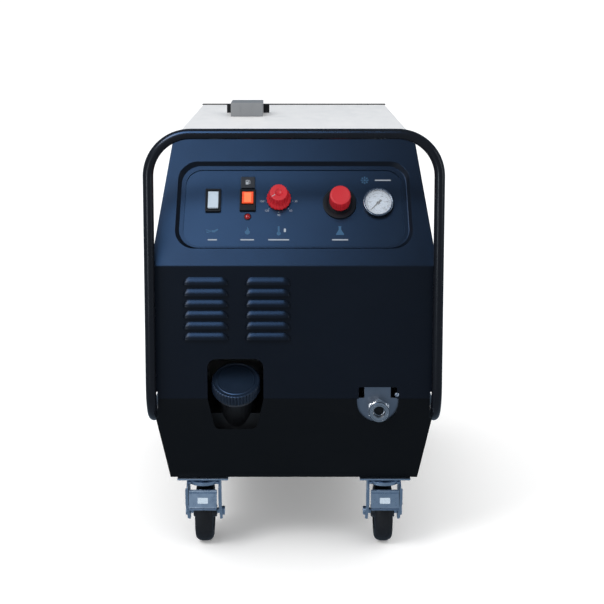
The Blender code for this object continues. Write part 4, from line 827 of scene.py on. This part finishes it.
ring, lift = 0.0345, 0.004
valve = [(0.012, -0.004), (ring - 0.0004, 0), (ring, 0.0005), (ring, lift - 0.0012),
         (ring - 0.0006, lift - 0.0003), (ring - 0.002, lift), (ring - 0.0085, lift),
         (ring - 0.0095, lift - 0.0005), (ring - 0.0105, lift - 0.0016), (0.014, lift - 0.0016),
         (0.0105, lift + 0.001), (0.009, lift + 0.004), (0.009, 0.016), (0.0, 0.016), (0.0, -0.004)]
piece("look_chemical_valve", turned(valve, 96), "black_plastic", at=ON_CHEMICAL,
      nodes=["chemical_valve"])
low, high, radius = 0.010, 0.048, 0.0215
knob = [(0, 0.0163), (0.0093, 0.0163), (0.0093, low), (radius - 0.0012, low), (radius - 0.0002, low + 0.0012),
        (radius, low + 0.003), (radius, high - 0.0045), (radius - 0.0002, high - 0.0032)]
knob += [(radius - 0.0012, high - 0.0012), (radius - 0.0030, high - 0.0002), (radius - 0.0044, high),
         (radius - 0.0060, high - 0.0005), (0.0, high - 0.0008)]
fluted = turned(knob, 192, flutes=32, flute=0.0009, flute_from=radius - 0.00025, power=0.8)
piece("look_chemical_knob", fluted, "red_plastic", "chemical_knob", at=ON_CHEMICAL, nodes=["chemical_knob"],
      sharp=40)

radius, proud = 0.0315, 0.012
throat = radius - 0.004
case = [(0, -0.022), (radius - 0.0025, -0.022), (radius - 0.0025, 0), (radius - 0.0005, 0), (radius, 0.0006),
        (radius, proud - 0.0030), (radius - 0.0003, proud - 0.0016), (radius - 0.0010, proud - 0.0005),
        (radius - 0.0020, proud), (throat + 0.0010, proud), (throat + 0.0003, proud - 0.0004),
        (throat, proud - 0.0012), (throat, 0.002), (0, 0.002)]
piece("look_gauge_case", turned(case, 96), "gauge_steel", at=slope_at(GAUGE.x, GAUGE.y, ON_PLATE),
      nodes=["gauge_case"])
refine("gauge_lens", "clear_lens", 0.0003)
dial = on_slope("gauge_dial")[1].z
marks = []
for k in range(51):
    angle = math.radians(225 - 270 * k / 50)
    major = k % 5 == 0
    inner, outer, half = (0.0196 if major else 0.0213), 0.0228, (0.00042 if major else 0.0002)
    mark = extruded([(inner, -half), (outer, -half), (outer, half), (inner, half)], -0.00005, 0.00012, "z")
    mark.transform(Matrix.Rotation(angle, 4, "Z"))
    marks.append(mark)
    if k % 10 == 0:
        number = lettering(str(k * 6), 0.0046)
        marks.append(moved(number, 0.0160 * math.cos(angle), 0.0160 * math.sin(angle)))
piece("gauge_marks", merged(marks), "print_black", at=slope_at(GAUGE.x, GAUGE.y, dial))
low, high = on_slope("gauge_needle")
NEEDLE = INTO_SLOPE @ Vector(JOINT["gauge_reading"]["pos_m"])
aim = -math.pi * 3 / 4
hand = [(-0.0095, -0.0016), (-0.0075, -0.0026), (-0.0050, -0.0020), (0.0, -0.0013), (0.0205, -0.0006),
        (0.0212, 0.0), (0.0205, 0.0006), (0.0, 0.0013), (-0.0050, 0.0020), (-0.0075, 0.0026),
        (-0.0095, 0.0016)]
pointer = extruded(hand, low.z + 0.0003, low.z + 0.0011, "z")
pointer.transform(Matrix.Rotation(aim, 4, "Z"))
hub = turned([(0, low.z), (0.0035, low.z), (0.0035, high.z - 0.0003), (0.0030, high.z), (0, high.z)], 36)
needle = carve(hub, pointer, "UNION")
piece("look_gauge_needle", needle, "print_black", "gauge_needle", at=slope_at(NEEDLE.x, NEEDLE.y, 0),
      nodes=["gauge_needle"])

# ---------------------------------------------------------------- filler
CAP_SPACE = at(CAP_JOINT) @ Vector((0, 0, 1)).rotation_difference(CAP_AXIS).to_matrix().to_4x4()
radius = 0.051
inner = radius - 0.005
cap = [(0, -0.006), (inner, -0.006), (inner, -0.023), (radius - 0.0010, -0.023), (radius, -0.0222),
       (radius, -0.0052), (radius - 0.0003, -0.0036), (radius - 0.0010, -0.0018), (radius - 0.0026, -0.0005),
       (radius - 0.0040, 0.0), (radius - 0.0055, -0.0002), (radius - 0.0064, -0.0012),
       (radius - 0.0074, -0.0015), (0.0400, -0.0015), (0.0394, -0.0013), (0.0386, -0.0008), (0.0378, -0.0007),
       (0.0366, -0.0011), (0.0350, -0.0012), (0.0120, -0.0010), (0.0030, -0.0009), (0, -0.0009)]
piece("look_fuel_cap", turned(cap, 352, flutes=44, flute=0.0024, flute_from=radius - 0.00105, power=1.3),
      "cap_plastic", "fuel_cap", at=CAP_SPACE, nodes=["fuel_cap"], sharp=40)
sleeve = [(0.0432, -0.0272), (0.0448, -0.0274), (0.0452, -0.0284), (0.0448, -0.0330), (0.0436, -0.0340),
          (0.0432, -0.0338)]
piece("neck_collar", turned(sleeve, 96, ring=True), "rim", at=CAP_SPACE)

# ---------------------------------------------------------------- outlet
refine("outlet_plate", "stainless", 0.0005)
low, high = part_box("outlet_fitting")
OUTLET = Vector((0.173, FRONT_Y, 0.315))
plate_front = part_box("outlet_plate")[0].y
ahead, bore, mouth = low.y - FRONT_Y, 0.010, 0.0123
nut_back = plate_front - FRONT_Y - 0.0003
nut_front = nut_back - 0.012
r = 0.0208
body = [(mouth, ahead + 0.0010), (mouth + 0.0008, ahead), (mouth + 0.0028, ahead),
        (mouth + 0.0034, ahead + 0.0018), (r - 0.0034, ahead + 0.0018), (r - 0.0028, ahead),
        (r - 0.0010, ahead), (r, ahead + 0.0012), (r, ahead + 0.0060), (r - 0.0014, ahead + 0.0070),
        (r - 0.0014, ahead + 0.0086), (r, ahead + 0.0096), (r, ahead + 0.0140), (r - 0.0012, ahead + 0.0150),
        (r - 0.0012, nut_front - 0.0010), (0.0170, nut_front + 0.001), (0.0135, nut_front + 0.004),
        (0.0135, high.y - FRONT_Y), (bore, high.y - FRONT_Y), (bore, ahead + 0.018)]
body += [(bore + 0.0018, ahead + 0.0178), (bore + 0.0020, ahead + 0.0150)]
for k in range(6):
    start = ahead + 0.0140 - k * 0.0022
    body += [(mouth - 0.0007, start), (mouth + 0.0002, start - 0.0011)]
piece("look_outlet_fitting", turned(body, 96, ring=True), "fitting_steel", at=at(OUTLET) @ ALONG_Y,
      nodes=["outlet_fitting"], sharp=45)
# Painted shade: a black disc deep in the outlet's bore makes the hole look dark.
valve = [(0, ahead + 0.0150), (bore - 0.0006, ahead + 0.0150), (bore - 0.0003, ahead + 0.0154),
         (bore - 0.0003, ahead + 0.0200), (0, ahead + 0.0200)]
piece("outlet_bore_shade_disc", turned(valve, 48), "black_plastic", at=at(OUTLET) @ ALONG_Y)
corner = 0.0415 / 2 / math.cos(math.pi / 6)
flats = turned([(0.0139, nut_front), (corner, nut_front), (corner, nut_back), (0.0139, nut_back)], 6,
               ring=True)
cone = turned([(0, nut_front), (0.0205, nut_front), (corner + 0.0006, nut_front + 0.0022),
               (corner + 0.0006, nut_back), (0, nut_back)], 96)
nut = carve(flats, cone, "INTERSECT")
piece("outlet_nut", nut, "fitting_steel", at=at(OUTLET) @ ALONG_Y @ Matrix.Rotation(math.pi / 6, 4, "Z"),
      bevel=0.0004, angle=25)
refine("water_inlet", "brass", 0.0004)
refine("cable_gland", "black_plastic", 0.0004)


# ---------------------------------------------------------------- running gear
def castor(side):
    swivel = Vector(JOINT[f"castor_{side}_turn"]["pos_m"])
    for kind, width in (("plate", 0.0007), ("fork", 0.0009), ("axle", 0.0008)):
        refine(f"castor_{side}_{kind}", "zinc", width, 3 if kind == "fork" else 2)
    hub = middle(f"castor_{side}_wheel")
    half, tread = 0.01875, 0.0625
    tyre = [(0.0400, -half + 0.0050), (0.0440, -half + 0.0008), (0.0470, -half), (0.0525, -half),
            (0.0560, -half + 0.0012), (0.0590, -half + 0.0040), (0.0612, -half + 0.0080),
            (0.0624, -half + 0.0130), (tread, 0.0)]
    tyre += [(r, -h) for r, h in tyre[-2::-1]]
    piece(f"look_castor_{side}_wheel", turned(tyre, 96, ring=True), "tyre", f"castor_{side}_wheel",
          at=at(hub) @ ALONG_X, nodes=[f"castor_{side}_wheel"])
    bore, web = 0.0063, half - 0.0062
    disc_side = [(bore, -half - 0.006), (0.0122, -half - 0.006), (0.0130, -half - 0.0052), (0.0155, -web),
                 (0.0340, -web + 0.0008), (0.0362, -web - 0.0022), (0.0398, -web - 0.0030),
                 (0.0412, -half + 0.0052)]
    rim = disc_side + [(r, -h) for r, h in disc_side[::-1]]
    piece(f"castor_{side}_rim", turned(rim, 72, ring=True), "rim", f"castor_{side}_wheel",
          at=at(hub) @ ALONG_X)
    fork_flanges(side, swivel)
    pivot = Vector(JOINT[f"castor_{side}_brake"]["pos_m"])
    pedal(side, Vector((swivel.x, pivot.y, pivot.z)))


def fork_flanges(side, swivel):
    """The fork's front edges, turned outwards."""
    low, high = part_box(f"castor_{side}_fork")
    hub = middle(f"castor_{side}_wheel")
    half = (high.x - low.x) / 2
    line = [(swivel.y - 0.0295, high.z - 0.014), (swivel.y - 0.0260, 0.100), (hub.y - 0.0150, hub.z - 0.006),
            (hub.y - 0.0080, low.z + 0.0005)]
    outline = line + [(y + 0.0030, z) for y, z in line[::-1]]
    strips = []
    for sign in (-1, 1):
        near, far = sorted((sign * (half - 0.0010), sign * (half + 0.0030)))
        strips.append(extruded(outline, swivel.x + near, swivel.x + far, "x"))
    piece(f"castor_{side}_flanges", merged(strips), "zinc", f"castor_{side}_swivel",
          bevel=0.0007)


def pedal(side, pivot):
    """Bent sheet: a rolled barrel, a flat with a pressed window, and a lip turned up at its foot."""
    half, thick, length = 0.029, 0.0025, 0.034
    slope = math.radians(72)
    down = Vector((-math.cos(slope), -math.sin(slope)))
    out = Vector((down.y, -down.x))
    far = down * length
    lip = far + (down * 0.4 + out).normalized() * 0.009
    outer = [Vector((0, 0)), down * 0.004] + fillet(down * 0.004, far, lip, 0.0035, 6) + [lip]
    inner = [p - out * thick for p in (outer[0], outer[1])]
    lip_back = lip - out * thick * 0.9 + down * 0.0008
    inner += fillet(inner[1], far - out * thick + down * 0.0002, lip_back, 0.0050, 6) + [lip_back]
    outline = [tuple(v) for v in outer + inner[::-1]]
    sheet = extruded(outline, -half, half, "x")
    place = Matrix.Translation(pivot)
    barrel = turned([(0, -half), (0.0034, -half), (0.004, -half + 0.0006), (0.004, half - 0.0006),
                     (0.0034, half), (0, half)], 36)
    barrel.transform(ALONG_X)
    mesh = carve(sheet, barrel, "UNION")
    window_low, window_high = 0.0120, 0.0255
    loop = []
    for share, inset in ((0.0, 0.0), (1.0, 0.0012)):
        n = 0.0012 - 0.0024 * share
        ring = rounded([(-0.0115 + inset, window_low + inset), (0.0115 - inset, window_low + inset),
                        (0.0115 - inset, window_high - inset), (-0.0115 + inset, window_high - inset)],
                       0.0022, 4)
        loop.append([(x, *(down * s + out * n)) for x, s in ring])
    mesh = carve(mesh, lofted(loop))
    pad = rounded([(-0.0108, window_low + 0.0007), (0.0108, window_low + 0.0007),
                   (0.0108, window_high - 0.0007), (-0.0108, window_high - 0.0007)], 0.0018, 4)
    pad = lofted([[(x, *(down * s + out * n)) for x, s in pad] for n in (-0.0011, 0.0006)])
    piece(f"castor_{side}_pedal_pad", pad, "white_plastic", f"castor_{side}_pedal", at=place,
          bevel=0.0003)
    piece(f"look_castor_{side}_brake_pedal", mesh, "zinc", f"castor_{side}_pedal", at=place,
          nodes=[f"castor_{side}_brake_pedal"], bevel=0.0006)


for side in ("left", "right"):
    castor(side)
    hub = middle(f"rear_wheel_{side}")
    w, r, rim = 0.016, 0.125, 0.099
    tyre = [(rim + 0.0004, w - 0.0034), (rim + 0.004, w - 0.0008), (rim + 0.007, w), (r - 0.010, w),
            (r - 0.006, w - 0.002), (r - 0.0025, w - 0.0050)]
    for edge in (0.0098, 0.0062, 0.0026):
        tyre += [(r, edge + 0.0010), (r, edge - 0.0008), (r - 0.0022, edge - 0.0012),
                 (r - 0.0022, edge - 0.0024)]
    tyre = tyre[:-2]
    tyre += [(radius, -height) for radius, height in tyre[::-1]]
    piece(f"look_rear_wheel_{side}", turned(tyre, 120, ring=True), "tyre", f"rear_wheel_{side}",
          at=at(hub) @ ALONG_X, nodes=[f"rear_wheel_{side}"], sharp=40)
    face = [(0.0103, w - 0.001), (0.0195, w - 0.001), (0.0205, w - 0.002), (0.0235, 0.0055), (0.030, 0.0050),
            (0.060, 0.0062), (0.084, 0.0050), (0.0885, 0.0058), (0.0925, w - 0.0036), (0.0965, w - 0.0030),
            (rim, w - 0.0036)]
    face += [(radius, -height) for radius, height in face[::-1]]
    piece(f"rear_rim_{side}", turned(face, 96, ring=True), "rim", f"rear_wheel_{side}", at=at(hub) @ ALONG_X)


# ---------------------------------------------------------------- stage
FLOOR_GLOW = 0.14       # keeps the floor pale under the lights


def flat(name, colour, roughness):
    made = bpy.data.materials.new(name)
    made.use_nodes = True
    fill(made.node_tree.nodes["Principled BSDF"],
         {"Base Color": (*colour, 1), "Roughness": roughness, "Specular IOR Level": 0.1,
          "Emission Color": (1, 1, 1, 1), "Emission Strength": FLOOR_GLOW})
    return made


FLOOR = [(-30, -30, 0), (30, -30, 0), (30, 60, 0), (-30, 60, 0)]
floor = bpy.data.objects.new("floor", mesh_of("floor", FLOOR, [(0, 1, 2, 3)]))
floor.data.materials.append(flat("floor_white", (0.93, 0.93, 0.93), 0.9))
bpy.context.scene.collection.objects.link(floor)
floor.visible_glossy = False

world = bpy.data.worlds.new("studio")
bpy.context.scene.world = world
world.use_nodes = True
nodes, link = world.node_tree.nodes, world.node_tree.links.new
bright = nodes["Background"]
fill(bright, {"Color": (1, 1, 1, 1), "Strength": 1.12})
dark = nodes.new("ShaderNodeBackground")
fill(dark, {"Color": (0.55, 0.75, 1.0, 1), "Strength": 0.30})
rays = nodes.new("ShaderNodeLightPath")
blend = nodes.new("ShaderNodeMixShader")
link(rays.outputs["Is Glossy Ray"], blend.inputs["Fac"])
link(bright.outputs["Background"], blend.inputs[1])
link(dark.outputs["Background"], blend.inputs[2])
link(blend.outputs["Shader"], nodes["World Output"].inputs["Surface"])


def area(name, where, target, size, power, colour=(1, 1, 1), diffuse=True):
    """A rectangular light that looks at a point. Without diffuse it only shows in reflections."""
    data = bpy.data.lights.new(name, "AREA")
    data.shape = "RECTANGLE"
    data.size, data.size_y = size
    data.energy = power
    data.color = colour
    light = bpy.data.objects.new(name, data)
    light.location = where
    light.rotation_euler = (Vector(target) - Vector(where)).to_track_quat("-Z", "Y").to_euler()
    light.visible_diffuse = diffuse
    light.visible_camera = False
    bpy.context.scene.collection.objects.link(light)
    return light


slope_centre = SLOPE @ Vector((0, 0.14, 0))
area("key", (-1.9, -2.6, 2.9), (0, 0, 0.4), (1.4, 1.4), 55.0)
sky = area("sky", slope_centre + Vector((-0.75, -1.42, 1.70)), slope_centre, (1.7, 1.2), 92.0,
           (0.20, 0.46, 1.0), False)
sky_lit = bpy.data.collections.new("sky_lit")
for name in ("look_front_panel", "front_louvres", "control_plate", "look_fuel_cap", "look_roll_bar"):
    sky_lit.objects.link(bpy.data.objects[name])
sky.light_linking.receiver_collection = sky_lit
area("front_low", (-1.6, -3.2, 0.35), (0, -0.4, 0.2), (0.9, 0.5), 12.0, (0.8, 0.9, 1.0), False)
area("side_strip", (2.6, -1.6, 1.1), (0, -0.3, 0.6), (0.25, 1.6), 9.0, (0.85, 0.92, 1.0), False)

CAMERA_AHEAD, CAMERA_HEIGHT, CAMERA_PITCH = 2.673, 1.1386, 7.53   # metres and degrees
camera = bpy.data.objects.new("camera", bpy.data.cameras.new("camera"))
bpy.context.scene.collection.objects.link(camera)
camera.location = (0.0, FRONT_Y - CAMERA_AHEAD, CAMERA_HEIGHT)
camera.rotation_euler = (math.radians(90 - CAMERA_PITCH), 0, 0)
camera.data.sensor_width = 36
camera.data.lens = 80.55
camera.data.shift_x = 0.0134
camera.data.shift_y = -0.2
camera.data.clip_end = 200
bpy.context.scene.camera = camera
bpy.context.scene.view_settings.view_transform = "Standard"
